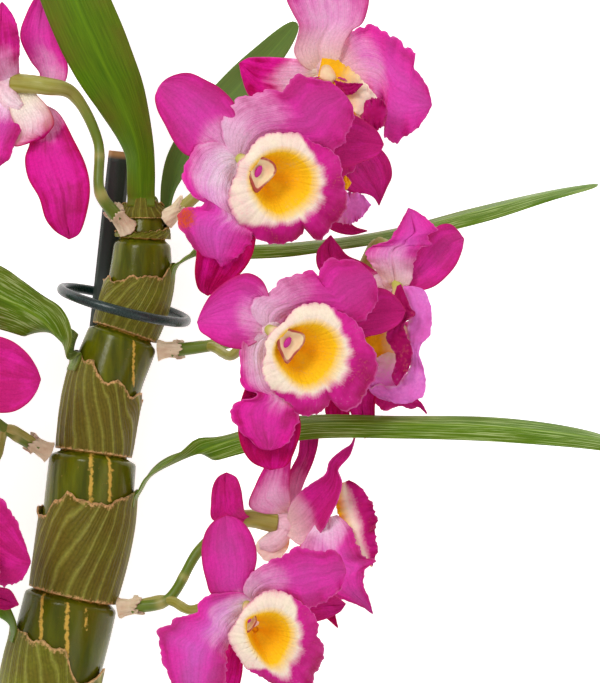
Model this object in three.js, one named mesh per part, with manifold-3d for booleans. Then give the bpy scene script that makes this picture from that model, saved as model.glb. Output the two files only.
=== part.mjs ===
// A flowering cane of noble dendrobium, cut below its lowest leaf and laid on its back with its green
// plant stake and ring. Millimetres, +X to the right and +Y along the cane, +Z up from the surface.
import * as THREE from "three";
import { mergeVertices } from "three/addons/utils/BufferGeometryUtils.js";
import Module from "manifold-3d";

const wasm = await Module();
wasm.setup();

const middle = [-18.2, -0.6]; // the drawing's point under the middle of the whole stem, moved to the origin
const degree = Math.PI / 180;
const gap = 0.3; // clear space between pieces that touch
const sheathGap = 0.5; // clear space between the cane and the leaf sheaths round it
const petalThickness = 0.8;
const lipThickness = 0.9;
const leafThickness = 1.0;
const sheathThickness = 0.9;

const colours = {
  cane: { color: 0x4f5a08, roughness: 0.3 },
  leaf: { color: 0x4c6a12, roughness: 0.45 },
  stalk: { color: 0x74792a, roughness: 0.5 },
  tepal: { color: 0xd4249c, roughness: 0.5 },
  lip: { color: 0xf2b45c, roughness: 0.5 },
  column: { color: 0xe9d9a8, roughness: 0.45 },
  stake: { color: 0x1c2a16, roughness: 0.45 },
  ring: { color: 0x22332c, roughness: 0.35 },
};

const vector = (x, y, z) => new THREE.Vector3(x, y, z);
const mix = (a, b, t) => a + (b - a) * t;
const ease = (t) => t * t * (3 - 2 * t);
const clamp01 = (t) => Math.min(1, Math.max(0, t));

// A closed three.js mesh as a solid that can be joined and cut.
function solidFrom(geometry) {
  const bare = geometry.clone();
  bare.deleteAttribute("normal");
  bare.deleteAttribute("uv");
  const merged = mergeVertices(bare, 1e-4);
  const triVerts = new Uint32Array(merged.index.array);
  const vertProperties = new Float32Array(merged.attributes.position.array);
  return new wasm.Manifold(new wasm.Mesh({ numProp: 3, vertProperties, triVerts }));
}

function geometryFrom(solid) {
  const { vertProperties, triVerts, numProp } = solid.getMesh();
  const count = vertProperties.length / numProp;
  const position = new Float32Array(count * 3);
  for (let i = 0; i < count; i++) {
    position.set(vertProperties.subarray(i * numProp, i * numProp + 3), i * 3);
  }
  const geometry = new THREE.BufferGeometry();
  geometry.setAttribute("position", new THREE.BufferAttribute(position, 3));
  geometry.setIndex(new THREE.BufferAttribute(new Uint32Array(triVerts), 1));
  return geometry;
}

function geometryOf(points, faces) {
  const geometry = new THREE.BufferGeometry();
  geometry.setAttribute("position", new THREE.Float32BufferAttribute(points.flatMap((p) => p.toArray()), 3));
  geometry.setIndex(faces);
  return geometry;
}

// A closed body from points and faces, turned right side out.
function closedBody(points, faces) {
  const solid = solidFrom(geometryOf(points, faces));
  if (solid.volume() > 0) return solid;
  const turned = [];
  for (let k = 0; k < faces.length; k += 3) turned.push(faces[k], faces[k + 2], faces[k + 1]);
  return solidFrom(geometryOf(points, turned));
}

// A thin closed blade: the surface pointAt(u, v), u from 0 to 1 along it and v from -1 to 1 across it,
// thickened by half on each side, with both faces split into triangles alike.
function thinBlade(pointAt, lengthSteps, widthSteps, thickness) {
  const step = 1e-3;
  const front = [];
  const back = [];
  for (let i = 0; i <= lengthSteps; i++) {
    for (let j = 0; j <= widthSteps; j++) {
      const u = i / lengthSteps;
      const v = (2 * j) / widthSteps - 1;
      const here = pointAt(u, v);
      const along = pointAt(Math.min(u + step, 1), v).sub(pointAt(Math.max(u - step, 0), v));
      const across = pointAt(u, Math.min(v + step, 1)).sub(pointAt(u, Math.max(v - step, -1)));
      const normal = across.cross(along).normalize().multiplyScalar(-thickness / 2);
      front.push(here.clone().add(normal));
      back.push(here.clone().sub(normal));
    }
  }
  const columns = widthSteps + 1;
  const backStart = front.length;
  const faces = [];
  const quad = (a, b, c, d) => faces.push(a, b, c, a, c, d);
  for (let i = 0; i < lengthSteps; i++) {
    for (let j = 0; j < widthSteps; j++) {
      const a = i * columns + j;
      quad(a, a + columns, a + columns + 1, a + 1);
      const b = backStart + a;
      faces.push(b, b + columns + 1, b + columns, b, b + 1, b + columns + 1);
    }
  }
  const edge = [];
  for (let j = 0; j < widthSteps; j++) edge.push(j);
  for (let i = 0; i < lengthSteps; i++) edge.push(i * columns + widthSteps);
  for (let j = widthSteps; j > 0; j--) edge.push(lengthSteps * columns + j);
  for (let i = lengthSteps; i > 0; i--) edge.push(i * columns);
  edge.forEach((a, k) => {
    const b = edge[(k + 1) % edge.length];
    quad(a, b, backStart + b, backStart + a);
  });
  return closedBody([...front, ...back], faces);
}

// A closed body whose rings of points are skinned one to the next, with a fan on each end.
function skinned(rings) {
  const sides = rings[0].length;
  const points = rings.flat();
  const faces = [];
  for (let i = 0; i < rings.length - 1; i++) {
    for (let j = 0; j < sides; j++) {
      const a = i * sides + j;
      const b = i * sides + ((j + 1) % sides);
      faces.push(a, b, b + sides, a, b + sides, a + sides);
    }
  }
  const centreOf = (ring) => ring.reduce((sum, p) => sum.add(p), vector(0, 0, 0)).divideScalar(sides);
  const first = points.push(centreOf(rings[0])) - 1;
  const last = points.push(centreOf(rings[rings.length - 1])) - 1;
  const top = (rings.length - 1) * sides;
  for (let j = 0; j < sides; j++) {
    const next = (j + 1) % sides;
    faces.push(first, next, j, last, top + j, top + next);
  }
  return closedBody(points, faces);
}

// Right angles across a path: a unit vector towards the viewer as far as it can be, and one beside it.
function crossing(tangent, towards = vector(0, 0, 1)) {
  const front = towards.clone().addScaledVector(tangent, -towards.dot(tangent)).normalize();
  return { front, beside: tangent.clone().cross(front) };
}

// A round stem along a smooth curve through the points, its radius given at even steps of the curve.
function stem(points, radii, steps, sides) {
  const curve = new THREE.CatmullRomCurve3(points, false, "centripetal");
  const rings = [];
  for (let i = 0; i <= steps; i++) {
    const t = i / steps;
    const place = t * (radii.length - 1);
    const k = Math.min(Math.floor(place), radii.length - 2);
    const radius = mix(radii[k], radii[k + 1], place - k);
    const centre = curve.getPointAt(t);
    const { front, beside } = crossing(curve.getTangentAt(t), vector(0.3, 0.1, 1));
    const ring = [];
    for (let j = 0; j < sides; j++) {
      const a = (j / sides) * 2 * Math.PI;
      const rim = front.clone().multiplyScalar(Math.cos(a)).addScaledVector(beside, Math.sin(a));
      ring.push(centre.clone().addScaledVector(rim, radius));
    }
    rings.push(ring);
  }
  return skinned(rings);
}

// The cane, from its cut end up. Each node is a ring where a leaf is borne; above it stands a segment that
// swells a little and ends at the next node.
const caneAxis = new THREE.CatmullRomCurve3(
  [
    [-83.5, -140, 21.5], [-80, -121, 22.5], [-74.4, -98.5, 23.3], [-68.7, -76.7, 23.6], [-64.5, -55, 23.4],
    [-62.4, -34, 23], [-58.8, -13, 21.4], [-53.2, 2.3, 20],
    [-48.9, 17, 19.4], [-47.6, 31, 19.5], [-47.4, 45, 20],
  ].map((p) => vector(...p)),
  false,
  "centripetal",
);
const segments = [
  { from: -140, to: -121, low: 14.2, high: 14.4, swell: 0.2 },
  { from: -121, to: -76.7, low: 13.2, high: 14.2, swell: 0.6 },
  { from: -76.7, to: -34, low: 12.5, high: 13.2, swell: 0.6 },
  { from: -34, to: 2.3, low: 10.6, high: 10.9, swell: 0.3 },
  { from: 2.3, to: 31, low: 9.0, high: 8.5, swell: 0.9 },
  { from: 31, to: 45, low: 7.4, high: 4.0, swell: 0.2 },
];
const caneSides = 16;

// The cane's place at a height, found by halving along its axis.
function caneAt(height) {
  let low = 0;
  let high = 1;
  for (let k = 0; k < 30; k++) {
    const middle = (low + high) / 2;
    if (caneAxis.getPointAt(middle).y < height) low = middle;
    else high = middle;
  }
  const t = (low + high) / 2;
  return { centre: caneAxis.getPointAt(t), tangent: caneAxis.getTangentAt(t) };
}

function segmentRadius(segment, share) {
  return mix(segment.low, segment.high, share) + segment.swell * Math.sin(Math.PI * share);
}

function caneRadius(height) {
  const segment = segments.find((s) => height <= s.to) ?? segments[segments.length - 1];
  return segmentRadius(segment, clamp01((height - segment.from) / (segment.to - segment.from)));
}

// A point at a height on the cane, at an angle round it (0 to the right, 90 towards the viewer) and a radius.
function aroundCane(height, angle, radius) {
  const { centre, tangent } = caneAt(height);
  const { front, beside } = crossing(tangent);
  const right = beside.x > 0 ? beside : beside.negate();
  return centre
    .clone()
    .addScaledVector(right, Math.cos(angle) * radius)
    .addScaledVector(front, Math.sin(angle) * radius);
}

// The cane as rings of points, drawn in a little at every node; spare makes it that much thicker.
function caneRings(spare) {
  const rings = [];
  const ring = (height, radius) => {
    const points = [];
    for (let j = 0; j < caneSides; j++) {
      points.push(aroundCane(height, (j / caneSides) * 2 * Math.PI, radius + spare));
    }
    rings.push(points);
  };
  const nodeGroove = 0.35; // how far each node's ring is drawn in
  segments.forEach((segment, k) => {
    const height = segment.to - segment.from;
    const shares = k === 0 ? [0, 0.5, 0.93] : [0.04, 0.35, 0.65, 0.93];
    for (const share of shares) ring(segment.from + share * height, segmentRadius(segment, share));
    const next = segments[k + 1];
    if (next) ring(segment.to, Math.min(segment.high, next.low) - nodeGroove);
  });
  const tip = segments[segments.length - 1];
  ring(tip.to, tip.high * 0.6);
  return rings;
}

// Leaves. Each is a sheath round the cane, from the node that bears it up to a slanting mouth, and a blade
// that leaves the high side of the mouth along a route. side is the angle round the cane of that high side,
// and faces are the ways that the blade's hollow side looks at its middle and at its tip.
const leaves = [
  {
    name: "leaf_1", node: 37.4, side: 95, low: 40, high: 43.5,
    route: [
      [-48.5, 57, 31], [-53.5, 72, 35], [-59.7, 85, 37.5],
      [-67.2, 102, 38], [-76, 125, 35], [-83, 147, 28],
    ],
    faces: [[0.05, 0, -1], [0.1, 0.1, -1]], halfWidth: 10.2, neck: 4.2, widest: 0.5,
  },
  {
    name: "leaf_2", node: 31.3, side: -32, low: 33.2, high: 35,
    route: [[-38.6, 48, 11], [-36, 56, 9.5], [-28.5, 67, 9.5], [-18, 78.5, 10], [-9, 88, 9], [-1, 97.5, 7]],
    faces: [[-0.3, 0.3, 0.95], [0.1, 0.1, 1]], halfWidth: 5.6, neck: 3.0, widest: 0.55,
  },
  {
    name: "leaf_3", node: 2.7, side: 12, low: 16.8, high: 22,
    route: [
      [-30.5, 26.3, 24], [-18, 27.8, 23], [0, 28.8, 21.5], [28.8, 33.1, 19.5],
      [54, 39.2, 17], [76, 45, 13], [91, 48, 8],
    ],
    faces: [[-0.1, -0.92, -0.4], [0.1, -0.9, -0.4]], halfWidth: 5.4, neck: 2.6, widest: 0.6,
  },
  {
    name: "leaf_4", node: -33.6, side: 160, low: -14.5, high: -9.5,
    route: [
      [-71.5, 0, 29], [-78, 7, 32.5], [-90, 13.5, 34.5],
      [-108, 21, 31.5], [-122, 27, 25], [-133, 31, 18],
    ],
    faces: [[0.35, -0.55, -0.75], [0.15, -0.3, -1]], halfWidth: 10.2, neck: 4.2, widest: 0.5,
  },
  {
    name: "leaf_5", node: -76.3, side: 8, low: -51, high: -46,
    route: [
      [-45, -40.5, 27], [-36, -35.5, 31], [-18, -29, 37], [0, -25, 40], [30, -24.8, 40.5], [60, -25.8, 35],
      [88, -29.3, 22], [101, -33, 11], [110, -37, -1],
    ],
    faces: [[-0.1, -0.75, -0.65], [0.05, -0.6, -0.8]], halfWidth: 5.3, neck: 3.6, widest: 0.4,
  },
  {
    name: "leaf_6", node: -120.6, side: 165, low: -97, high: -91,
    route: [[-93, -80, 29], [-101, -68, 28], [-110, -58, 22], [-121, -48, 12], [-130, -41, -1]],
    faces: [[0.5, -0.5, -0.7], [0.35, -0.3, -0.9]], halfWidth: 9.5, neck: 4.2, widest: 0.5,
  },
];

// Half width of a leaf blade along it: narrow at the neck, then a long strap that tapers to its tip.
function strapShape(leaf, u) {
  const opening = ease(clamp01(u / leaf.widest));
  const closing = Math.sqrt(Math.max(0, 1 - Math.pow(clamp01((u - leaf.widest) / (1 - leaf.widest)), 2.2)));
  return mix(leaf.neck, leaf.halfWidth, opening) * mix(0.06, 1, closing);
}

// A leaf blade's surface: across the midrib it folds into an open V. At its foot it lies in the sheath's
// wall, the fold is sharpest at its neck, and its hollow side turns from facing the cane to the ways in
// faces.
function bladePoint(leaf, curve, u, v) {
  const centre = curve.getPointAt(u);
  const tangent = curve.getTangentAt(u);
  const side = leaf.side * degree;
  const inwards = aroundCane(leaf.high, side, 0).sub(aroundCane(leaf.high, side, 1));
  const [middle, last] = leaf.faces.map((f) => vector(...f).normalize());
  const face = u < 0.4 ? inwards.lerp(middle, ease(u / 0.4)) : middle.lerp(last, (u - 0.4) / 0.6);
  const { front, beside } = crossing(tangent, face);
  const half = strapShape(leaf, u) * v;
  const flattening = ease(clamp01((u - 0.14) / 0.22));
  const fold = (u < 0.14 ? mix(5, 34, ease(u / 0.14)) : mix(34, 12, flattening)) * degree;
  return centre
    .clone()
    .addScaledVector(beside, half * Math.cos(fold))
    .addScaledVector(front, Math.abs(half) * Math.sin(fold));
}

// One side of a sheath's wall as rings of points. Its top edge is highest at the leaf's side of the cane;
// spare moves both edges outwards.
function sheathRings(leaf, offset, spare = 0) {
  const rows = 2;
  const rings = [];
  for (let i = 0; i <= rows; i++) {
    const ring = [];
    for (let j = 0; j < caneSides; j++) {
      const angle = (j / caneSides) * 2 * Math.PI;
      const lean = Math.pow((1 + Math.cos(angle - leaf.side * degree)) / 2, 2);
      const top = mix(leaf.low, leaf.high, lean) + spare;
      const height = mix(leaf.node - spare, top, i / rows);
      ring.push(aroundCane(height, angle, caneRadius(height) + offset));
    }
    rings.push(ring);
  }
  return rings;
}

function makeSheath(leaf) {
  const inner = sheathRings(leaf, sheathGap);
  const outer = sheathRings(leaf, sheathGap + sheathThickness);
  const rows = inner.length - 1;
  const sides = caneSides;
  const outerStart = inner.length * sides;
  const top = rows * sides;
  const faces = [];
  const quad = (a, b, c, d) => faces.push(a, b, c, a, c, d);
  for (let j = 0; j < sides; j++) {
    const next = (j + 1) % sides;
    for (let i = 0; i < rows; i++) {
      const a = i * sides + j;
      const b = i * sides + next;
      quad(outerStart + a, outerStart + b, outerStart + b + sides, outerStart + a + sides);
      faces.push(a, b + sides, b, a, a + sides, b + sides);
    }
    quad(j, next, outerStart + next, outerStart + j);
    quad(outerStart + top + j, outerStart + top + next, top + next, top + j);
  }
  return closedBody([...inner.flat(), ...outer.flat()], faces);
}

// The room that the cane and its sheaths take up, with the clear space round them.
function caneRoom() {
  const rooms = leaves.map((leaf) => skinned(sheathRings(leaf, sheathGap + sheathThickness + gap, gap)));
  return rooms.reduce((whole, room) => whole.add(room), skinned(caneRings(gap)));
}

// Takes away whatever lies below the surface that the stem rests on, which leaves a small flat spot.
function restingFlat(solid) {
  const below = new THREE.BoxGeometry(400, 400, 20).translate(0, 0, -10);
  return solid.subtract(solidFrom(below));
}

function makeLeaf(leaf) {
  const wall = (height, out = 0) =>
    aroundCane(height, leaf.side * degree, caneRadius(height) + sheathGap + sheathThickness / 2 + out);
  const foot = [wall(leaf.high - 2.6), wall(leaf.high), wall(leaf.high + 2, 1.2)];
  const points = [...foot, ...leaf.route.map((p) => vector(...p))];
  const curve = new THREE.CatmullRomCurve3(points, false, "centripetal");
  const blade = thinBlade((u, v) => bladePoint(leaf, curve, u, v), 11, 2, leafThickness);
  return restingFlat(makeSheath(leaf).add(blade));
}

// Flowers. centre is where the petals meet, facing is the way the flower looks, and dorsal and every petal's
// way are directions in the picture, in degrees from +X. A petal leaves the centre along its way, turning by
// bend up to its tip; it rises by tilt, then by curl, towards the side that the flower faces.
const sepal = { length: 36, half: 8.6, tilt: 6, curl: -10, cup: 24, ruffle: 0, waves: 1, bend: 0 };
const petal = { length: 34, half: 13, tilt: 12, curl: 4, cup: 12, ruffle: 1.6, waves: 3, bend: 0 };
const lip = {
  reach: 20, side: 15, taper: 1.5, throat: 9.5, depth: 9, away: 9.4, tilt: 0, drop: 3, ruffle: 1.4, waves: 6,
};

const flowers = [
  {
    name: "flower_a", centre: [-16.4, 51.2, 66], facing: [0.34, -0.2, 0.91], dorsal: 146,
    sepals: [
      { way: 140, length: 34, half: 9.8 },
      { way: 10, length: 43, half: 8.5 },
      { way: 262, length: 41, half: 8.4 },
    ],
    petals: [{ way: 73, bend: -42, length: 34, half: 12.2 }, { way: 193, bend: 62, length: 31, half: 11.5 }],
    lip: { reach: 19.5 },
    via: [[-24, 46, 42]],
  },
  {
    name: "flower_b", centre: [7.5, 81.5, 32], facing: [0.1, -0.1, 0.98], dorsal: 88,
    sepals: [
      { way: 88, length: 34, half: 12 },
      { way: -64, length: 43, half: 9 },
      { way: 238, length: 38, half: 9 },
    ],
    petals: [{ way: 0, bend: -14, length: 32, half: 15 }, { way: 190, bend: 12, length: 29, half: 11 }],
    lip: { reach: 31, side: 12, taper: 5, drop: 5 },
    via: [[-12, 60, 20]],
  },
  {
    name: "flower_c", centre: [-8.2, 3.4, 66], facing: [0.34, -0.16, 0.92], dorsal: 146,
    sepals: [
      { way: 160, length: 24, half: 11 },
      { way: 8, length: 41, half: 8 },
      { way: 269, length: 42, half: 8.6 },
    ],
    petals: [{ way: 80, bend: -50, length: 32, half: 10.4 }, { way: 222, bend: 52, length: 34, half: 9.6 }],
    lip: { reach: 19 },
    via: [[-20, -4, 40]],
  },
  {
    name: "flower_d", centre: [27.5, 18.5, 38], facing: [0.25, -0.72, 0.63], dorsal: 68,
    sepals: [
      { way: 33, length: 25, half: 10 },
      { way: -88, length: 46, half: 8.5, tilt: 5, curl: 16 },
      { way: 158, length: 28, half: 6 },
    ],
    petals: [
      { way: -58, length: 20, half: 9.5, tilt: 4 },
      { way: 86, length: 28, half: 11, tilt: -12, curl: -6 },
    ],
    lip: { reach: 20, side: 12.5, depth: 12, away: 13 },
    via: [[0, 4, 22], [16, 16, 24]],
  },
  {
    name: "flower_e", centre: [-13.5, -77.5, 62], facing: [0.34, -0.34, 0.88], dorsal: 100,
    sepals: [
      { way: 107, length: 28, half: 8.6 },
      { way: -18, length: 30, half: 7.5 },
      { way: 238, length: 38, half: 8.6 },
    ],
    petals: [{ way: 50, bend: -34, length: 28, half: 10.5 }, { way: 178, bend: 44, length: 33, half: 14 }],
    lip: { reach: 18, side: 14 },
    via: [[-32, -80, 38]],
  },
  {
    name: "flower_f", centre: [-4, -55, 27], facing: [0.96, -0.12, -0.22], dorsal: 78,
    sepals: [
      { way: 84, length: 31, half: 9, tilt: 12 },
      { way: -60, length: 34, half: 8 },
      { way: 100, length: 25, half: 6.5, tilt: -56 },
    ],
    petals: [{ way: 60, length: 38, half: 10, tilt: 10 }, { way: 95, length: 24, half: 9, tilt: -28 }],
    lip: { reach: 20, side: 17, depth: 18, away: 10.6 },
    via: [[-30, -62.5, 24]],
  },
  {
    name: "flower_g", centre: [-111, -10, 46], facing: [-0.3, 0.1, 0.93], dorsal: 120,
    sepals: [{ way: 120, length: 32 }, { way: -4, length: 36, half: 12 }, { way: 235, length: 30 }],
    petals: [{ way: 60, length: 28 }, { way: 175 }],
  },
  {
    name: "flower_h", centre: [-112, -58, 42], facing: [-0.3, -0.2, 0.93], dorsal: 150,
    sepals: [{ way: 150, length: 30 }, { way: -36, length: 34, half: 8 }, { way: 250, length: 30 }],
    petals: [{ way: 14, bend: -14, length: 36, half: 12.5, tilt: 7 }, { way: 200, length: 30 }],
    via: [[-92, -36, 26]],
  },
  {
    name: "flower_i", centre: [-88, 77.5, 36], facing: [-0.75, 0.1, -0.4], dorsal: 60,
    sepals: [{ way: 58, length: 34, half: 9 }, { way: -66, length: 42, half: 8.6 }, { way: 200, length: 30 }],
    petals: [{ way: 100, length: 32, half: 12, tilt: 4 }, { way: 250, length: 30, half: 12, tilt: 4 }],
    via: [[-60.5, 60, 33], [-68, 74, 36]],
  },
];

// Half width of a petal or sepal along it, as a share of its widest.
function petalShape(kind, u) {
  const rise = kind === "petal" ? 0.6 : 0.55;
  const fall = kind === "petal" ? 0.42 : 0.5;
  const peak = rise / (rise + fall);
  const top = Math.pow(peak, rise) * Math.pow(1 - peak, fall);
  const share = (Math.pow(u, rise) * Math.pow(1 - u, fall)) / top;
  return mix(0.16 * (1 - u), 1, share) + 0.05 * u;
}

// A petal's surface in its flower's own axes. The midrib is an arc that leaves the centre at the petal's
// angle, rising by tilt and then by curl; across it the blade is an arc of the cup angle, and its edges wave.
function petalPoint(kind, p, u, v) {
  const start = 1.2;
  const tilt = p.tilt * degree;
  const curl = p.curl * degree;
  const rise = tilt + curl * u;
  const out = start + (p.length * (Math.sin(rise) - Math.sin(tilt))) / curl;
  const up = (p.length * (Math.cos(tilt) - Math.cos(rise))) / curl;
  const angle = (p.angle + p.bend * u) * degree;
  const radial = vector(Math.cos(angle), Math.sin(angle), 0);
  const beside = vector(-Math.sin(angle), Math.cos(angle), 0);
  const front = radial.clone().multiplyScalar(-Math.sin(rise)).add(vector(0, 0, Math.cos(rise)));
  const width = p.half * petalShape(kind, u);
  const cup = p.cup * degree;
  const room = Math.min(1, width / (0.5 * p.half)) * Math.min(1, u / 0.35);
  const wave = p.ruffle * Math.pow(Math.abs(v), 2.5) * room;
  const ripple = wave * Math.sin(2 * Math.PI * p.waves * u + (v > 0 ? 0.6 : 2.4) + p.angle);
  const layer = kind === "petal" ? 0.8 : -0.8; // petals lie in front of the sepals
  return radial
    .clone()
    .multiplyScalar(out)
    .add(vector(0, 0, up + layer))
    .addScaledVector(beside, (width * Math.sin(cup * v)) / cup)
    .addScaledVector(front, (width * (1 - Math.cos(cup * v))) / cup + ripple);
}

// A flower's own axes: z is its facing, y its dorsal direction and x the way across.
function flowerAxes(flower) {
  const z = vector(...flower.facing).normalize();
  const wanted = vector(Math.cos(flower.dorsal * degree), Math.sin(flower.dorsal * degree), 0);
  const y = wanted.addScaledVector(z, -wanted.dot(z)).normalize();
  return { x: y.clone().cross(z), y, z };
}

// Every sepal and petal of a flower. Its way in the picture is the projection of a direction in the flower's
// own plane, so that direction is found first and then measured as an angle in the flower's own axes.
function tepalList(flower) {
  const { x, y, z } = flowerAxes(flower);
  const own = (p) => {
    const way = vector(Math.cos(p.way * degree), Math.sin(p.way * degree), 0);
    way.z = -way.dot(z) / z.z;
    return { ...p, angle: Math.atan2(way.dot(y), way.dot(x)) / degree };
  };
  return [
    ...flower.sepals.map((p) => ["sepal", own({ ...sepal, ...p })]),
    ...flower.petals.map((p) => ["petal", own({ ...petal, ...p })]),
  ];
}

function roundBody(rings, sides) {
  return skinned(
    rings.map(({ centre, radius, tip = 0 }) => {
      const ring = [];
      for (let j = 0; j < sides; j++) {
        const a = (j / sides) * 2 * Math.PI;
        const y = Math.sin(a) * radius;
        ring.push(vector(centre[0] + Math.cos(a) * radius, centre[1] + y, centre[2] + tip * y));
      }
      return ring;
    }),
  );
}

// The receptacle behind the petals, and the blunt chin that the side sepals form below it.
function makeReceptacle() {
  const cup = roundBody(
    [
      { centre: [0, 0, -4], radius: 2.2 },
      { centre: [0, 0, -2], radius: 3.2 },
      { centre: [0, 0, 1.7], radius: 3.4 },
    ],
    7,
  );
  const chinPath = [vector(0, -1.8, -0.6), vector(0, -5.4, -3.2), vector(0, -7.2, -7.6)];
  const chin = stem(chinPath, [3.0, 3.1, 1.6], 3, 6);
  return cup.add(chin);
}

function makeTepals(flower) {
  let solid = makeReceptacle();
  for (const [kind, p] of tepalList(flower)) {
    const [along, across] = kind === "petal" ? [7, 4] : [5, 2];
    solid = solid.add(thinBlade((u, v) => petalPoint(kind, p, u, v), along, across, petalThickness));
  }
  return solid;
}

// The lip's surface in its flower's axes. Round the throat, turn runs from the far side of the column (-1)
// past the lip's tip (0) and back (1); along it, u runs from the base of the bowl over its rim to the edge.
function lipPoint(p, u, turn) {
  const spread = 162 * degree;
  const a = turn * spread;
  const towardsTip = (1 + Math.cos(a)) / 2;
  const atBack = mix(0.8, 1, clamp01((1 - Math.abs(turn)) / 0.3));
  const reach = mix(p.side, p.reach, Math.pow(towardsTip, p.taper)) * atBack;
  const radii = [1.6, p.throat * 1.05, p.throat * 1.0, mix(p.throat, reach, 0.62), reach];
  const heights = [-p.depth, -p.depth * 0.95, 1.2, 2.6, -p.drop * towardsTip];
  const weights = [1, 4, 6, 4, 1];
  let radius = 0;
  let height = 0;
  weights.forEach((weight, k) => {
    const share = weight * Math.pow(u, k) * Math.pow(1 - u, 4 - k);
    radius += share * radii[k];
    height += share * heights[k];
  });
  height += p.ruffle * Math.pow(u, 4) * Math.sin(2 * Math.PI * p.waves * turn * 0.5 + 0.8);
  const lean = p.tilt * degree;
  const x = radius * Math.sin(a);
  const y = -radius * Math.cos(a);
  const seat = vector(0, -p.away, 3.4 + p.depth);
  const outwards = y * Math.cos(lean) + height * Math.sin(lean);
  const upwards = height * Math.cos(lean) - y * Math.sin(lean);
  return vector(x, outwards, upwards).add(seat);
}

function makeLip(flower) {
  const p = { ...lip, ...flower.lip };
  return thinBlade((u, turn) => lipPoint(p, u, turn), 4, 11, lipThickness);
}

// The column: a short arched body from the centre into the throat, widest at its hooded end.
function makeColumn() {
  const rings = [
    { centre: [0, 0.8, 2.1], radius: 1.7 },
    { centre: [0, 0.6, 4.6], radius: 1.9 },
    { centre: [0, -0.4, 7.2], radius: 2.5, tip: 0.3 },
    { centre: [0, -2.2, 9.4], radius: 2.6, tip: 0.7 },
    { centre: [0, -3.2, 9.9], radius: 1.4, tip: 0.7 },
  ];
  return roundBody(rings, 7);
}

// Flower stalks. Each leaves the cane at a node inside a dry bract, then forks to its flowers. height and
// side place its foot on the cane, and lean is how far its fork rises above the foot.
const stalks = [
  { name: "stalk_1", height: 37, side: 12, lean: 6, flowers: ["flower_a", "flower_b"] },
  { name: "stalk_2", height: 1, side: 8, lean: 3, flowers: ["flower_c", "flower_d"] },
  { name: "stalk_3", height: -77, side: 10, lean: 3, flowers: ["flower_e", "flower_f"] },
  { name: "stalk_4", height: -35, side: 160, lean: 2.5, flowers: ["flower_g", "flower_h"] },
  { name: "stalk_5", height: 34.2, side: 128, lean: 7, flowers: ["flower_i"] },
];
const bract = { length: 9, sunk: 2.4, foot: 3.2, mouth: 3.0 };

// The foot starts inside the cane and is cut to fit round it and its sheaths.
function makeStalk(stalk, room) {
  const side = stalk.side * degree;
  const radius = caneRadius(stalk.height);
  const start = aroundCane(stalk.height, side, radius - bract.sunk);
  const fork = aroundCane(stalk.height + stalk.lean, side, radius + bract.length);
  const middle = aroundCane(stalk.height + stalk.lean * 0.3, side, radius + bract.length * 0.45);
  const heading = fork.clone().sub(middle).normalize();
  let solid = stem([start, middle, fork], [bract.foot, bract.foot, bract.mouth], 3, 7);
  for (const name of stalk.flowers) {
    const flower = flowers.find((f) => f.name === name);
    const facing = vector(...flower.facing).normalize();
    const centre = vector(...flower.centre);
    const end = centre.clone().addScaledVector(facing, -4 - gap);
    const before = centre.clone().addScaledVector(facing, -14);
    const away = fork.clone().addScaledVector(heading, 6);
    const between = (flower.via ?? []).map((p) => vector(...p));
    const route = [fork.clone().addScaledVector(heading, -2), away, ...between, before, end];
    solid = solid.add(stem(route, [2.1, 1.6, 1.5, 1.5, 2.0, 2.2], 9, 6));
  }
  return solid.subtract(room);
}

// The plant stake behind the cane, a ribbed plastic bar, and the ring that holds the cane against it.
const stake = { top: [-54.9, 58, 8.6], bottom: [-77.8, -148, 2.7], width: 7.6, depth: 5.6, sides: 10 };

function makeStake() {
  const top = vector(...stake.top);
  const bottom = vector(...stake.bottom);
  const along = top.clone().sub(bottom);
  const { front, beside } = crossing(along.clone().normalize());
  const outline = [];
  for (let j = 0; j < stake.sides; j++) {
    const a = ((j + 0.5) / stake.sides) * 2 * Math.PI;
    outline.push([Math.cos(a), Math.sin(a)]);
  }
  const rings = [0, 1].map((t) =>
    outline.map(([x, z]) =>
      bottom
        .clone()
        .addScaledVector(along, t)
        .addScaledVector(beside, (x * stake.width) / 2)
        .addScaledVector(front, (z * stake.depth) / 2),
    ),
  );
  return skinned(rings);
}

const ring = {
  centre: [-53.2, 11.1, 20.4], radius: 19.6, wall: 1.25, height: 1.5, axis: [0.25, 0.955, 0.105],
};

function makeRing() {
  const axis = vector(...ring.axis).normalize();
  const { front, beside } = crossing(axis);
  const steps = 32;
  const sides = 6;
  const points = [];
  const faces = [];
  for (let i = 0; i < steps; i++) {
    const a = (i / steps) * 2 * Math.PI;
    const out = front.clone().multiplyScalar(Math.cos(a)).addScaledVector(beside, Math.sin(a));
    for (let j = 0; j < sides; j++) {
      const b = ((j + 0.5) / sides) * 2 * Math.PI;
      const place = vector(...ring.centre).addScaledVector(out, ring.radius + ring.wall * Math.cos(b));
      points.push(place.addScaledVector(axis, ring.height * Math.sin(b)));
    }
  }
  for (let i = 0; i < steps; i++) {
    for (let j = 0; j < sides; j++) {
      const a = i * sides + j;
      const b = i * sides + ((j + 1) % sides);
      const c = ((i + 1) % steps) * sides + ((j + 1) % sides);
      const d = ((i + 1) % steps) * sides + j;
      faces.push(a, b, c, a, c, d);
    }
  }
  return closedBody(points, faces);
}

const group = new THREE.Group();

function addPiece(name, solid, material) {
  const surface = new THREE.MeshStandardMaterial({ metalness: 0, ...material });
  const mesh = new THREE.Mesh(geometryFrom(solid), surface);
  mesh.name = name;
  mesh.geometry.translate(-middle[0], -middle[1], 0);
  group.add(mesh);
}

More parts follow.
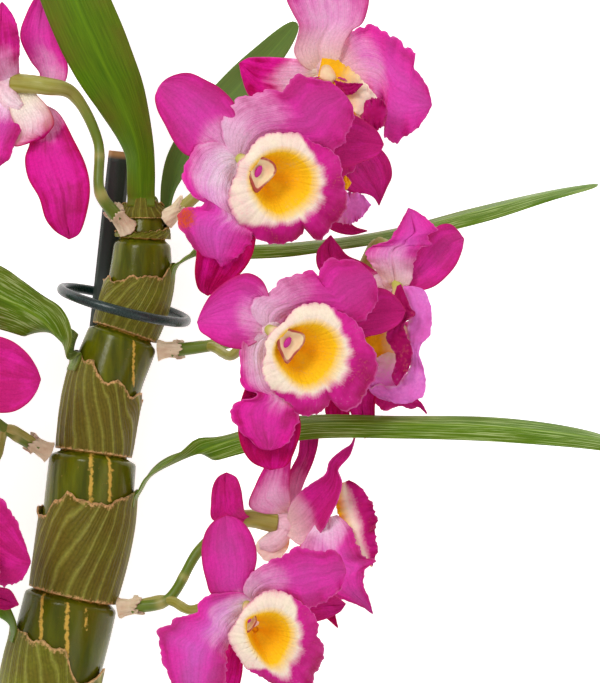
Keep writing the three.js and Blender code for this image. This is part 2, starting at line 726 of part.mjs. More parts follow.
addPiece("cane", skinned(caneRings(0)), colours.cane);
for (const leaf of leaves) addPiece(leaf.name, makeLeaf(leaf), colours.leaf);
const room = caneRoom();
for (const stalk of stalks) addPiece(stalk.name, makeStalk(stalk, room), colours.stalk);
for (const flower of flowers) {
  const { x, y, z } = flowerAxes(flower);
  const place = new THREE.Matrix4().makeBasis(x, y, z).setPosition(...flower.centre).elements;
  addPiece(`${flower.name}_petals`, makeTepals(flower).transform([...place]), colours.tepal);
  addPiece(`${flower.name}_lip`, makeLip(flower).transform([...place]), colours.lip);
  addPiece(`${flower.name}_column`, makeColumn().transform([...place]), colours.column);
}
addPiece("stake", restingFlat(makeStake()), colours.stake);
addPiece("ring", restingFlat(makeRing()), colours.ring);

export default group;
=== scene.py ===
import math

import bpy
import numpy as np
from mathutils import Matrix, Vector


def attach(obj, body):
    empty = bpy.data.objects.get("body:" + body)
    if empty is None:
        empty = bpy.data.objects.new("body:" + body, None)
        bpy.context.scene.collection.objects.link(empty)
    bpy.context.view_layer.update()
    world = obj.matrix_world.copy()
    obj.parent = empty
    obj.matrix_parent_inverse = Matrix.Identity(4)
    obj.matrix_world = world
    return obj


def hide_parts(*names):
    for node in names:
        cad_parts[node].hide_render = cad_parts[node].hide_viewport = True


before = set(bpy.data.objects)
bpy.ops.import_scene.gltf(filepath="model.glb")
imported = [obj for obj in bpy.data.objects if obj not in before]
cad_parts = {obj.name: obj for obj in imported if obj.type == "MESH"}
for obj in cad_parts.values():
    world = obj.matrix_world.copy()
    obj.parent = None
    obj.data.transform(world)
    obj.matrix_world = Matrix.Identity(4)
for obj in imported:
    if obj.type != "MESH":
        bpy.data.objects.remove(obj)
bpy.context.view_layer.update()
print("frame loaded:", len(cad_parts), "nodes")

# Everything is drawn in millimetres in the drawing's own axes, then moved and scaled into the row frame.
# The picture is a 600 x 683 grid seen from an eye straight above the point (0, 0) of the drawing.
drawing = {"shift": (18.2, 0.6, 0.0), "step": 0.3, "eye": 1230.0, "level": 30.0, "wide": 600, "high": 683}
degree = math.pi / 180


def mix(a, b, t):
    return a + (b - a) * t


def ease(t):  # 3t^2 - 2t^3 between 0 and 1
    t = np.clip(t, 0, 1)
    return t * t * (3 - 2 * t)


def unit(a):
    return a / np.maximum(np.linalg.norm(a, axis=-1, keepdims=True), 1e-9)


def wholeTurn(steps):
    return np.arange(steps) / steps * 2 * math.pi


def dot(a, b):
    return np.sum(a * b, axis=-1, keepdims=True)


# A smooth curve through the points (centripetal Catmull-Rom), at even steps of its length or at the given
# shares of it.
def smoothPath(points, count=60, closed=False, shares=None):
    p = np.asarray(points, float)
    p = np.vstack([p[-1], p, p[:2]]) if closed else np.vstack([2 * p[0] - p[1], p, 2 * p[-1] - p[-2]])
    p0, p1, p2, p3 = p[:-3], p[1:-2], p[2:-1], p[3:]
    knot = lambda a, b: np.maximum(np.sum((a - b) ** 2, axis=1, keepdims=True), 1e-9) ** 0.25
    a, b, c = knot(p0, p1), knot(p1, p2), knot(p2, p3)
    m1 = ((p1 - p0) / a - (p2 - p0) / (a + b) + (p2 - p1) / b) * b
    m2 = ((p2 - p1) / b - (p3 - p1) / (b + c) + (p3 - p2) / c) * b
    t = np.linspace(0, 1, 33)[None, :-1, None]
    dense = ((2 * t**3 - 3 * t**2 + 1) * p1[:, None] + (t**3 - 2 * t**2 + t) * m1[:, None]
             + (3 * t**2 - 2 * t**3) * p2[:, None] + (t**3 - t**2) * m2[:, None]).reshape(-1, p.shape[1])
    dense = np.vstack([dense, p2[-1]])
    run = np.concatenate([[0], np.cumsum(np.linalg.norm(np.diff(dense, axis=0), axis=1))])
    wanted = (np.linspace(0, 1, count) if shares is None else np.asarray(shares)) * run[-1]
    return np.stack([np.interp(wanted, run, dense[:, k]) for k in range(p.shape[1])], axis=-1)


# Right angles across a path: front leans towards a wanted way as far as it can, beside is tangent x front.
def crossing(tangent, towards):
    towards = np.broadcast_to(np.asarray(towards, float), tangent.shape)
    front = unit(towards - dot(towards, tangent) * tangent)
    return front, np.cross(tangent, front)


def tangentsOf(path):
    return unit(np.gradient(path, axis=0))


# The unit normals of a grid of points: across each grid square, the way along u crossed with the way along v.
def normalsOf(grid, closed=False):
    along = np.gradient(grid, axis=0)
    if closed:
        wrapped = np.concatenate([grid[:, -2:-1], grid, grid[:, 1:2]], axis=1)
        across = np.gradient(wrapped, axis=1)[:, 1:-1]
    else:
        across = np.gradient(grid, axis=1)
    normals = np.cross(along, across)
    size = np.linalg.norm(normals, axis=-1, keepdims=True)
    normals = np.where(size > 1e-9, normals / np.maximum(size, 1e-9), 0)
    normals[0] = np.where(size[0] > 1e-7, normals[0], normals[1])
    normals[-1] = np.where(size[-1] > 1e-7, normals[-1], normals[-2])
    return unit(normals)


# The place of a picture point at a height above the surface: where the eye's ray through it meets that height.
def placeAt(points):
    p = np.asarray(points, float)
    x = (p[..., 0] - drawing["wide"] / 2) * drawing["step"]
    y = (drawing["high"] / 2 - p[..., 1]) * drawing["step"]
    share = (drawing["eye"] - p[..., 2]) / (drawing["eye"] - drawing["level"])
    return np.stack([x * share, y * share, p[..., 2]], axis=-1)


# The place of a picture point on a plane through centre, square to facing.
def placeOn(points, centre, facing):
    p = np.asarray(points, float)
    eye = np.array([0, 0, drawing["eye"]])
    ray = np.stack([(p[..., 0] - drawing["wide"] / 2) * drawing["step"],
                    (drawing["high"] / 2 - p[..., 1]) * drawing["step"],
                    np.full(p.shape[:-1], drawing["level"] - drawing["eye"])], axis=-1)
    share = ((np.asarray(centre) - eye) @ np.asarray(facing)) / (ray @ np.asarray(facing))
    return eye + ray * share[..., None]


# Moves points towards the eye by a lift, so that they stay where they are in the picture.
def lifted(points, lift):
    way = unit(np.array([0, 0, drawing["eye"]]) - points)
    return points + way * np.asarray(lift)[..., None]


# Faces of a grid of rows x columns, in quads whose normal is the way along rows crossed with along columns.
def gridFaces(rows, columns, start=0, closed=False):
    i, j = np.meshgrid(np.arange(rows - 1), np.arange(columns if closed else columns - 1), indexing="ij")
    k = (j + 1) % columns
    a, b = start + i * columns + j, start + (i + 1) * columns + j
    c, d = start + (i + 1) * columns + k, start + i * columns + k
    return np.stack([a, b, c, d], axis=-1).reshape(-1, 4)


# A part is a dictionary of points, quads, triangles, uv and masks, all whole arrays; parts join into one piece.
def partOf(points, quads, triangles=None, uv=None, masks=None):
    count = len(points)
    return {"points": points, "quads": quads,
            "triangles": np.zeros((0, 3), int) if triangles is None else triangles,
            "uv": np.zeros((count, 2)) if uv is None else uv,
            "masks": {} if masks is None else masks}


# A thin closed blade: a grid moved by half its thickness to both sides, with walls round its edge. The thickness
# falls off near the edge, so that the rim is fine.
def bladePart(grid, thickness, uv, masks=None, rim=0.35):
    rows, columns = grid.shape[:2]
    u = np.linspace(0, 1, rows)[:, None]
    v = np.linspace(0, 1, columns)[None, :]
    inside = np.minimum(np.minimum(v, 1 - v) / 0.12, np.minimum(u / 0.05, (1 - u) / 0.05))
    half = thickness / 2 * mix(rim, 1, np.sqrt(np.clip(inside, 0, 1)))
    normals = normalsOf(grid) * half[..., None]
    points = np.concatenate([(grid + normals).reshape(-1, 3), (grid - normals).reshape(-1, 3)])
    back = rows * columns
    front = gridFaces(rows, columns)
    behind = gridFaces(rows, columns, back)[:, ::-1]
    across, along = np.arange(columns), np.arange(rows) * columns
    edge = np.concatenate([across[:-1], along[:-1] + columns - 1, (across + (rows - 1) * columns)[:0:-1],
                           along[:0:-1]])
    after = np.roll(edge, -1)
    walls = np.stack([edge, after, after + back, edge + back], axis=-1)
    doubled = {name: np.concatenate([mask.reshape(-1)] * 2) for name, mask in (masks or {}).items()}
    doubled["behind"] = np.concatenate([np.zeros(back), np.ones(back)])
    return partOf(points, np.concatenate([front, behind, walls]), uv=np.concatenate([uv.reshape(-1, 2)] * 2),
                  masks=doubled)


# A closed sleeve: an outer and an inner skin round an axis, joined at both ends.
def sleevePart(outer, inner, uv, masks):
    rows, columns = outer.shape[:2]
    back, top = rows * columns, (rows - 1) * columns
    ring, after = np.arange(columns), (np.arange(columns) + 1) % columns
    quads = np.concatenate([
        gridFaces(rows, columns, closed=True), gridFaces(rows, columns, back, closed=True)[:, ::-1],
        np.stack([ring, ring + back, after + back, after], axis=-1),
        np.stack([top + ring, top + after, top + after + back, top + ring + back], axis=-1)])
    twice = lambda values: np.concatenate([values] * 2)
    return partOf(np.concatenate([outer.reshape(-1, 3), inner.reshape(-1, 3)]), quads,
                  uv=twice(uv.reshape(-1, 2)),
                  masks={name: twice(mask.reshape(-1)) for name, mask in masks.items()})


# A closed tube: rings of points skinned one to the next, with a fan on each end.
def tubePart(grid, uv=None, masks=None):
    rows, columns = grid.shape[:2]
    points = np.concatenate([grid.reshape(-1, 3), grid[0].mean(axis=0)[None], grid[-1].mean(axis=0)[None]])
    quads = gridFaces(rows, columns, closed=True)
    ring, after = np.arange(columns), (np.arange(columns) + 1) % columns
    first, last = rows * columns, rows * columns + 1
    top = (rows - 1) * columns
    triangles = np.concatenate([np.stack([np.full(columns, first), ring, after], axis=-1),
                                np.stack([np.full(columns, last), top + after, top + ring], axis=-1)])
    if uv is None:
        uv = np.stack(np.meshgrid(np.linspace(0, 1, rows), np.linspace(0, 1, columns), indexing="ij"), axis=-1)
    uv = np.concatenate([uv.reshape(-1, 2), uv[0, :1], uv[-1, :1]])
    ends = {n: np.concatenate([m.reshape(-1), m[0, :1], m[-1, :1]]) for n, m in (masks or {}).items()}
    return partOf(points, quads, triangles, uv, ends)


# A round stem on a path of points, its radius a smooth line through the given radii.
def stemPart(path, radii, sides, towards=(0.3, 0.1, 1), swell=1):
    tangent = tangentsOf(path)
    front, beside = crossing(tangent, towards)
    radius = np.interp(np.linspace(0, 1, len(path)), np.linspace(0, 1, len(radii)), radii)
    radius = radius * swell
    turn = wholeTurn(sides)
    rim = front[:, None] * np.cos(turn)[None, :, None] + beside[:, None] * np.sin(turn)[None, :, None]
    return tubePart(path[:, None] + rim * radius[:, None, None])


# Whether a closed part has its faces outwards: its signed volume, the sum of a . (b x c) / 6, is positive.
def outwards(part):
    p = part["points"]
    q = part["quads"]
    tris = np.concatenate([q[:, [0, 1, 2]], q[:, [0, 2, 3]], part["triangles"]])
    a, b, c = p[tris[:, 0]], p[tris[:, 1]], p[tris[:, 2]]
    if np.sum(a * np.cross(b, c)) < 0:
        part = dict(part, quads=q[:, ::-1], triangles=part["triangles"][:, ::-1])
    return part


def joined(parts):
    parts = [outwards(part) for part in parts]
    names = sorted({name for part in parts for name in part["masks"]})
    starts = np.cumsum([0] + [len(part["points"]) for part in parts[:-1]])
    return partOf(np.concatenate([part["points"] for part in parts]),
                  np.concatenate([part["quads"] + start for part, start in zip(parts, starts)]),
                  np.concatenate([part["triangles"] + start for part, start in zip(parts, starts)]),
                  np.concatenate([part["uv"] for part in parts]),
                  {n: np.concatenate([part["masks"].get(n, np.zeros(len(part["points"]))) for part in parts])
                   for n in names})


# Puts parts into one mesh piece in the row frame, in metres, hangs it on the root body and hides the frame parts
# that it replaces.
def addPiece(name, parts, material, replaced=()):
    whole = joined(parts)
    points = (whole["points"] + np.array(drawing["shift"])) * 0.001
    quads, triangles = whole["quads"], whole["triangles"]
    corners = np.concatenate([quads.reshape(-1), triangles.reshape(-1)]).astype(np.int32)
    totals = np.concatenate([np.full(len(quads), 4), np.full(len(triangles), 3)]).astype(np.int32)
    mesh = bpy.data.meshes.new(name)
    mesh.vertices.add(len(points))
    mesh.vertices.foreach_set("co", points.astype(np.float32).reshape(-1))
    mesh.loops.add(len(corners))
    mesh.loops.foreach_set("vertex_index", corners)
    mesh.polygons.add(len(totals))
    mesh.polygons.foreach_set("loop_start", np.concatenate([[0], np.cumsum(totals)[:-1]]).astype(np.int32))
    mesh.polygons.foreach_set("loop_total", totals)
    mesh.polygons.foreach_set("use_smooth", np.ones(len(totals), bool))
    layer = mesh.uv_layers.new(name="grain")
    layer.data.foreach_set("uv", whole["uv"][corners].astype(np.float32).reshape(-1))
    for maskName, mask in whole["masks"].items():
        attribute = mesh.attributes.new(maskName, "FLOAT", "POINT")
        attribute.data.foreach_set("value", mask.astype(np.float32))
    mesh.validate()
    mesh.update()
    mesh.materials.append(material)
    piece = bpy.data.objects.new(name, mesh)
    bpy.context.scene.collection.objects.link(piece)
    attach(piece, "root")
    if replaced:
        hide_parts(*replaced)
    return piece


# Materials. put() adds a node with its inputs, each a value or another node's output.
def put(tree, kind, inputs=None, **settings):
    made = tree.nodes.new(kind)
    for name, value in settings.items():
        setattr(made, name, value)
    for name, value in (inputs or {}).items():
        if isinstance(value, bpy.types.NodeSocket):
            tree.links.new(value, made.inputs[name])
        else:
            made.inputs[name].default_value = value
    return made


def calc(tree, operation, *values, clamp=False):
    made = put(tree, "ShaderNodeMath", dict(enumerate(values)), operation=operation, use_clamp=clamp)
    return made.outputs[0]


def swayed(tree, noise, middle, amount, value, clamp=False):  # (noise - middle) x amount + value
    return calc(tree, "MULTIPLY_ADD", calc(tree, "SUBTRACT", noise, middle), amount, value, clamp=clamp)


def blendOf(tree, factor, a, b, way="MIX"):
    made = put(tree, "ShaderNodeMix", {0: factor, 6: a, 7: b}, data_type="RGBA", blend_type=way)
    return made.outputs[2]


def spread(tree, value, low, high, toLow=0.0, toHigh=1.0):
    made = put(tree, "ShaderNodeMapRange", {0: value, 1: low, 2: high, 3: toLow, 4: toHigh}, clamp=True)
    return made.outputs[0]


def colour(text):  # a colour as it looks on a screen, made linear
    parts = np.array([int(text[k:k + 2], 16) / 255 for k in (1, 3, 5)])
    linear = np.where(parts <= 0.04045, parts / 12.92, ((parts + 0.055) / 1.055) ** 2.4)
    return (*linear.tolist(), 1.0)


def newGroup(name, inputs, outputs):
    tree = bpy.data.node_groups.new(name, "ShaderNodeTree")
    for label, kind, value in inputs:
        socket = tree.interface.new_socket(label, in_out="INPUT", socket_type=kind)
        if value is not None:
            socket.default_value = value
    for label, kind in outputs:
        tree.interface.new_socket(label, in_out="OUTPUT", socket_type=kind)
    return tree, put(tree, "NodeGroupInput").outputs, put(tree, "NodeGroupOutput")


def useGroup(tree, group, **inputs):
    return put(tree, "ShaderNodeGroup", inputs, node_tree=group).outputs


# Fine veins that run along the piece's own map: thin lines at even steps across it, pushed about by noise.
def makeVeinGroup():
    tree, given, result = newGroup(
        "fineVeins",
        [("Map", "NodeSocketVector", None), ("Number", "NodeSocketFloat", 16.0), ("Wander", "NodeSocketFloat", 0.6),
         ("Sharp", "NodeSocketFloat", 4.0)],
        [("Line", "NodeSocketFloat")])
    parts = put(tree, "ShaderNodeSeparateXYZ", {0: given["Map"]}).outputs
    stretched = put(tree, "ShaderNodeMapping", {"Vector": given["Map"], "Scale": (3.0, 9.0, 1.0)}).outputs[0]
    noise = put(tree, "ShaderNodeTexNoise", {"Vector": stretched, "Scale": 1.0, "Detail": 3.0}).outputs["Fac"]
    pushed = calc(tree, "MULTIPLY", calc(tree, "SUBTRACT", noise, 0.5), given["Wander"])
    turns = calc(tree, "ADD", calc(tree, "MULTIPLY", parts[1], given["Number"]), pushed)
    wave = calc(tree, "COSINE", calc(tree, "MULTIPLY", turns, 2 * math.pi))
    line = calc(tree, "POWER", calc(tree, "MULTIPLY_ADD", wave, 0.5, 0.5), given["Sharp"])
    tree.links.new(line, result.inputs["Line"])
    return tree


# Uneven colour of living tissue: cloudy patches, a fine grain and a crystal sparkle, all in object space.
def makeTissueGroup():
    tree, given, result = newGroup(
        "tissue",
        [("Patch", "NodeSocketFloat", 90.0), ("Grain", "NodeSocketFloat", 900.0)],
        [("Cloud", "NodeSocketFloat"), ("Grain", "NodeSocketFloat"), ("Sparkle", "NodeSocketFloat")])
    place = put(tree, "ShaderNodeTexCoord").outputs["Object"]
    cloud = put(tree, "ShaderNodeTexNoise", {"Vector": place, "Scale": given["Patch"], "Detail": 4.0,
                                             "Roughness": 0.55}).outputs["Fac"]
    grain = put(tree, "ShaderNodeTexNoise", {"Vector": place, "Scale": given["Grain"], "Detail": 3.0,
                                             "Roughness": 0.6}).outputs["Fac"]
    cells = put(tree, "ShaderNodeTexVoronoi", {"Vector": place, "Scale": 2600.0}).outputs["Distance"]
    tree.links.new(spread(tree, cloud, 0.3, 0.7), result.inputs["Cloud"])
    tree.links.new(spread(tree, grain, 0.25, 0.75), result.inputs["Grain"])
    tree.links.new(spread(tree, cells, 0.1, 0.6), result.inputs["Sparkle"])
    return tree


# Long soft streaks along the map, as petals are shaded between their veins.
def makeStreakGroup():
    tree, given, result = newGroup(
        "softStreaks", [("Map", "NodeSocketVector", None), ("Number", "NodeSocketFloat", 7.0)],
        [("Streak", "NodeSocketFloat")])
    parts = put(tree, "ShaderNodeSeparateXYZ", {0: given["Map"]}).outputs
    drawn = put(tree, "ShaderNodeCombineXYZ", {0: calc(tree, "MULTIPLY", parts[0], 1.6),
                                               1: calc(tree, "MULTIPLY", parts[1], given["Number"])}).outputs[0]
    noise = put(tree, "ShaderNodeTexNoise", {"Vector": drawn, "Scale": 1.0, "Detail": 5.0, "Roughness": 0.6,
                                             "Distortion": 0.4}).outputs["Fac"]
    tree.links.new(spread(tree, noise, 0.25, 0.75), result.inputs["Streak"])
    return tree


veinGroup = makeVeinGroup()
tissueGroup = makeTissueGroup()
streakGroup = makeStreakGroup()


def newMaterial(name, seen):
    material = bpy.data.materials.new(name)
    material.use_nodes = True
    material.diffuse_color = colour(seen)
    tree = material.node_tree
    tree.nodes.clear()
    shader = put(tree, "ShaderNodeBsdfPrincipled")
    put(tree, "ShaderNodeOutputMaterial", {"Surface": shader.outputs[0]})
    return material, tree, shader


def maskOf(tree, name):
    return put(tree, "ShaderNodeAttribute", attribute_name=name).outputs["Fac"]


def setBump(tree, shader, height, strength, distance):
    bump = put(tree, "ShaderNodeBump", {"Height": height, "Strength": strength, "Distance": distance})
    tree.links.new(bump.outputs[0], shader.inputs["Normal"])


petalLook = {
    "magenta": "#e41698", "deep": "#b60058", "lilac": "#f071e4", "pale": "#fcdcf2", "cream": "#fff6dc",
    "rim": "#f56bc0", "underside": "#de3aa4", "edge": "#b4063c", "rust": "#d9531a", "veins": 13.0,
    "roughness": 0.46,
}


# Petal tissue. The masks deep, pale and cream are worked out with the shape, and give the broad colours; deep is
# the petals' own deeper magenta and also painted shade on tepals that lie in shadow. Veins, patches and a painted
# sparkle break them up, and the rim is a thin lighter line, a painted highlight.
def makePetalMaterial(name, look):
    material, tree, shader = newMaterial(name, look["magenta"])
    grainMap = put(tree, "ShaderNodeUVMap", uv_map="grain").outputs[0]
    vein = useGroup(tree, veinGroup, Map=grainMap, Number=look["veins"], Wander=1.3, Sharp=5.0)["Line"]
    fine = useGroup(tree, veinGroup, Map=grainMap, Number=look["veins"] * 3.1, Wander=2.2, Sharp=2.0)["Line"]
    tissue = useGroup(tree, tissueGroup, Patch=120.0, Grain=1400.0)
    streaks = useGroup(tree, streakGroup, Map=grainMap, Number=7.0)["Streak"]
    uneven = calc(tree, "ADD", calc(tree, "SUBTRACT", tissue["Cloud"], 0.5), calc(tree, "SUBTRACT", streaks, 0.5))
    # deep: the petals' own deeper magenta, and painted shade where a tepal that lies in shadow has its deep set
    # high
    deep = calc(tree, "MULTIPLY_ADD", maskOf(tree, "deep"), 1.2, 0.06)
    deep = calc(tree, "MULTIPLY_ADD", uneven, 1.5, deep, clamp=True)
    base = blendOf(tree, deep, colour(look["magenta"]), colour(look["deep"]))
    lilac = calc(tree, "MULTIPLY", maskOf(tree, "lilac"), calc(tree, "MULTIPLY_ADD", tissue["Cloud"], 0.5, 0.6))
    base = blendOf(tree, lilac, base, colour(look["lilac"]))
    paleMask = maskOf(tree, "pale")
    broken = swayed(tree, fine, 0.5, -0.12, paleMask)
    broken = calc(tree, "MULTIPLY_ADD", uneven, -0.45, broken)
    broken = calc(tree, "MULTIPLY", spread(tree, broken, 0.05, 0.9), calc(tree, "MINIMUM", calc(
        tree, "MULTIPLY", paleMask, 5.0), 1.0))
    base = blendOf(tree, broken, base, colour(look["pale"]))
    base = blendOf(tree, maskOf(tree, "cream"), base, colour(look["cream"]))
    veinInk = calc(tree, "MULTIPLY", vein, 0.09)
    base = blendOf(tree, veinInk, base, colour(look["deep"]), "MULTIPLY")
    base = blendOf(tree, calc(tree, "MULTIPLY", maskOf(tree, "edge"), 0.75), base, colour(look["edge"]))
    # painted highlight: a thin lighter line along the petals' margins
    base = blendOf(tree, calc(tree, "MULTIPLY", maskOf(tree, "rim"), 0.5), base, colour(look["rim"]))
    speckled = swayed(tree, tissue["Grain"], 0.5, 1.1, maskOf(tree, "rust"))
    rust = calc(tree, "MULTIPLY", spread(tree, speckled, 0.3, 1.0), calc(tree, "MINIMUM", calc(
        tree, "MULTIPLY", maskOf(tree, "rust"), 3.0), 1.0))
    base = blendOf(tree, calc(tree, "MULTIPLY", rust, 0.9), base, colour(look["rust"]))
    base = blendOf(tree, calc(tree, "MULTIPLY", maskOf(tree, "behind"), 0.3), base, colour(look["underside"]))
    # painted sparkle: a fine grain that lightens and darkens the colour, standing for the tissue's glints
    paintedSparkle = calc(tree, "MULTIPLY", calc(tree, "SUBTRACT", tissue["Grain"], 0.5), 0.22)
    bright = put(tree, "ShaderNodeHueSaturation", {"Color": base, "Value": calc(tree, "ADD", paintedSparkle, 1.0)})
    tree.links.new(bright.outputs[0], shader.inputs["Base Color"])
    rough = calc(tree, "MULTIPLY_ADD", tissue["Sparkle"], 0.2, look["roughness"])
    tree.links.new(rough, shader.inputs["Roughness"])
    height = calc(tree, "ADD", calc(tree, "MULTIPLY", vein, -0.25), calc(tree, "MULTIPLY", tissue["Sparkle"], 0.3))
    height = calc(tree, "ADD", height, calc(tree, "MULTIPLY_ADD", streaks, 0.9,
                                            calc(tree, "MULTIPLY", tissue["Cloud"], 0.5)))
    setBump(tree, shader, height, 0.5, 0.0007)
    shader.inputs["Specular IOR Level"].default_value = 0.08
    return material


lipLook = {
    "gold": "#ffca1e", "amber": "#f79a00", "cream": "#fff0d2", "blush": "#f7b9cd", "magenta": "#dc2496",
    "lilac": "#f68ae8", "deep": "#a8055a", "rim": "#f583c8", "veins": 46.0, "roughness": 0.5,
}


# Lip tissue: gold in the throat, a fringed cream ring at its mouth and a magenta margin. The masks gold, ring
# and margin are broad bands, and fine hairs along the map fray them. The mask amber turns the gold orange towards
# the throat's floor, partly the lip's own colour and partly painted shade in the bowl; a painted sparkle breaks
# the colour up, and the rim is a thin lighter line, a painted highlight.
def makeLipMaterial(name, look):
    material, tree, shader = newMaterial(name, look["gold"])
    grainMap = put(tree, "ShaderNodeUVMap", uv_map="grain").outputs[0]
    hairs = useGroup(tree, veinGroup, Map=grainMap, Number=look["veins"] * 2.4, Wander=5.0, Sharp=1.4)["Line"]
    vein = useGroup(tree, veinGroup, Map=grainMap, Number=look["veins"], Wander=2.0, Sharp=4.0)["Line"]
    tissue = useGroup(tree, tissueGroup, Patch=150.0, Grain=1200.0)
    uneven = calc(tree, "SUBTRACT", tissue["Cloud"], 0.5)
    fray = calc(tree, "MULTIPLY", calc(tree, "SUBTRACT", hairs, 0.5), 0.07)
    fray = swayed(tree, tissue["Grain"], 0.5, 0.3, fray)
    fray = calc(tree, "MULTIPLY_ADD", uneven, 0.3, fray)
    margin = spread(tree, calc(tree, "ADD", maskOf(tree, "margin"), fray), 0.08, 0.85)
    gold = spread(tree, calc(tree, "ADD", maskOf(tree, "gold"), calc(tree, "MULTIPLY", fray, 0.5)), 0.05, 0.95)
    ring = blendOf(tree, calc(tree, "MAXIMUM", maskOf(tree, "margin"),
                              calc(tree, "MULTIPLY", tissue["Cloud"], 0.45)),
                   colour(look["cream"]), colour(look["blush"]))
    outer = blendOf(tree, calc(tree, "MULTIPLY_ADD", uneven, 0.9, maskOf(tree, "deep"), clamp=True),
                    colour(look["magenta"]), colour(look["deep"]))
    outer = blendOf(tree, calc(tree, "MULTIPLY", maskOf(tree, "lilac"), calc(
        tree, "MULTIPLY_ADD", tissue["Cloud"], 0.5, 0.6), clamp=True), outer, colour(look["lilac"]))
    # amber towards the throat's floor: partly the lip's own orange, partly painted shade in the bowl
    throat = blendOf(tree, maskOf(tree, "amber"), colour(look["gold"]), colour(look["amber"]))
    base = blendOf(tree, margin, ring, outer)
    base = blendOf(tree, gold, base, throat)
    inked = calc(tree, "MULTIPLY", calc(tree, "MULTIPLY", vein, 0.1), margin)
    base = blendOf(tree, inked, base, colour(look["deep"]), "MULTIPLY")
    # painted highlight: a thin lighter line along the lip's edge
    base = blendOf(tree, calc(tree, "MULTIPLY", calc(tree, "MULTIPLY", maskOf(tree, "rim"), 0.45), margin), base,
                   colour(look["rim"]))
    # painted sparkle: a fine grain that lightens and darkens the colour, standing for the tissue's glints
    paintedSparkle = swayed(tree, tissue["Grain"], 0.5, 0.2, 1.0)
    bright = put(tree, "ShaderNodeHueSaturation", {"Color": base, "Value": paintedSparkle})
    tree.links.new(bright.outputs[0], shader.inputs["Base Color"])
    rough = calc(tree, "MULTIPLY_ADD", tissue["Grain"], 0.2, look["roughness"])
    tree.links.new(rough, shader.inputs["Roughness"])
    height = calc(tree, "ADD", calc(tree, "MULTIPLY", hairs, 0.15), calc(tree, "MULTIPLY", tissue["Grain"], 0.6))
    setBump(tree, shader, height, 0.4, 0.0004)
    shader.inputs["Specular IOR Level"].default_value = 0.08
    return material


# the red in this look is a painted shadow line
columnLook = {"green": "#c2c45c", "cream": "#f4dfae", "blush": "#eeb996", "ink": "#a81a1e", "cap": "#c92a92"}


# The column: green at its foot, cream to blush at its hood, with a purple-red line painted along its edges as
# the shadow of the column's wings.
def makeColumnMaterial(name, look):
    material, tree, shader = newMaterial(name, look["cream"])
    tissue = useGroup(tree, tissueGroup, Patch=300.0, Grain=1500.0)
    base = blendOf(tree, tissue["Cloud"], colour(look["cream"]), colour(look["blush"]))
    base = blendOf(tree, maskOf(tree, "foot"), base, colour(look["green"]))
    # painted shadow: a purple-red line, blotted by patches, where the column's wings would shade it
    blotted = swayed(tree, tissue["Cloud"], 0.6, 0.7, maskOf(tree, "ink"))
    base = blendOf(tree, calc(tree, "MULTIPLY", spread(tree, blotted, 0.3, 0.9), 0.9), base, colour(look["ink"]))
    base = blendOf(tree, maskOf(tree, "cap"), base, colour(look["cap"]))
    tree.links.new(base, shader.inputs["Base Color"])
    tree.links.new(calc(tree, "MULTIPLY_ADD", tissue["Grain"], 0.2, 0.3), shader.inputs["Roughness"])
    setBump(tree, shader, tissue["Sparkle"], 0.2, 0.0002)
    shader.inputs["Specular IOR Level"].default_value = 0.2
    return material


petalMaterial = makePetalMaterial("petalTissue", petalLook)
lipMaterial = makeLipMaterial("lipTissue", lipLook)
columnMaterial = makeColumnMaterial("columnTissue", columnLook)
print("flower materials made")


greenLook = {
    "cane": "#6a7106", "caneDark": "#404a06", "caneBrown": "#605404", "node": "#b98a3c", "stripe": "#cfa848",
    "sheath": "#66591a", "sheathGreen": "#717519", "rib": "#a3a548", "torn": "#c79d66",
    "leaf": "#587c08", "leafLight": "#86a62a", "leafDark": "#3f6008", "leafBrown": "#6d5a20", "leafPale": "#bcc98c",
    "stem": "#96922a", "stemGreen": "#647f10", "stemPale": "#b9b464", "bract": "#f0e0c0", "bractBrown": "#c9a67c",
    "core": "#b58a52",
}


# The cane's skin: dark olive, glossy, with long darker streaks. The masks node and stripe colour the rings and
# the dry cracks.
def makeCaneMaterial(name, look):
    material, tree, shader = newMaterial(name, look["cane"])
    place = put(tree, "ShaderNodeTexCoord").outputs["Object"]
    long = put(tree, "ShaderNodeMapping", {"Vector": place, "Rotation": (0.0, 0.0, 0.12),
                                           "Scale": (1.0, 0.12, 1.0)})
    streak = put(tree, "ShaderNodeTexNoise", {"Vector": long.outputs[0], "Scale": 420.0,
                                              "Detail": 4.0}).outputs["Fac"]
    tissue = useGroup(tree, tissueGroup, Patch=70.0, Grain=800.0)
    base = blendOf(tree, spread(tree, streak, 0.35, 0.7), colour(look["caneDark"]), colour(look["cane"]))
    base = blendOf(tree, maskOf(tree, "low"), base, colour(look["caneDark"]), "MIX")
    base = blendOf(tree, calc(tree, "MULTIPLY", tissue["Cloud"], 0.45), base, colour(look["caneBrown"]))
    broken = swayed(tree, tissue["Grain"], 0.5, 0.9, maskOf(tree, "node"))
    base = blendOf(tree, spread(tree, broken, 0.35, 0.8), base, colour(look["node"]))
    crack = swayed(tree, tissue["Grain"], 0.5, 0.8, maskOf(tree, "stripe"))
    crack = spread(tree, crack, 0.35, 0.7)
    base = blendOf(tree, crack, base, colour(look["stripe"]))
    tree.links.new(base, shader.inputs["Base Color"])
    rough = calc(tree, "MULTIPLY_ADD", crack, 0.35, calc(tree, "MULTIPLY_ADD", tissue["Cloud"], 0.12, 0.16))
    tree.links.new(rough, shader.inputs["Roughness"])
    height = calc(tree, "ADD", calc(tree, "MULTIPLY", streak, 0.5), calc(tree, "MULTIPLY", tissue["Grain"], 0.25))
    setBump(tree, shader, calc(tree, "MULTIPLY_ADD", crack, 0.8, height), 0.35, 0.0006)
    shader.inputs["Specular IOR Level"].default_value = 0.12
    shader.inputs["Coat Weight"].default_value = 0.14
    shader.inputs["Coat Roughness"].default_value = 0.16
    shader.inputs["Coat Tint"].default_value = colour("#eef0c0")
    return material


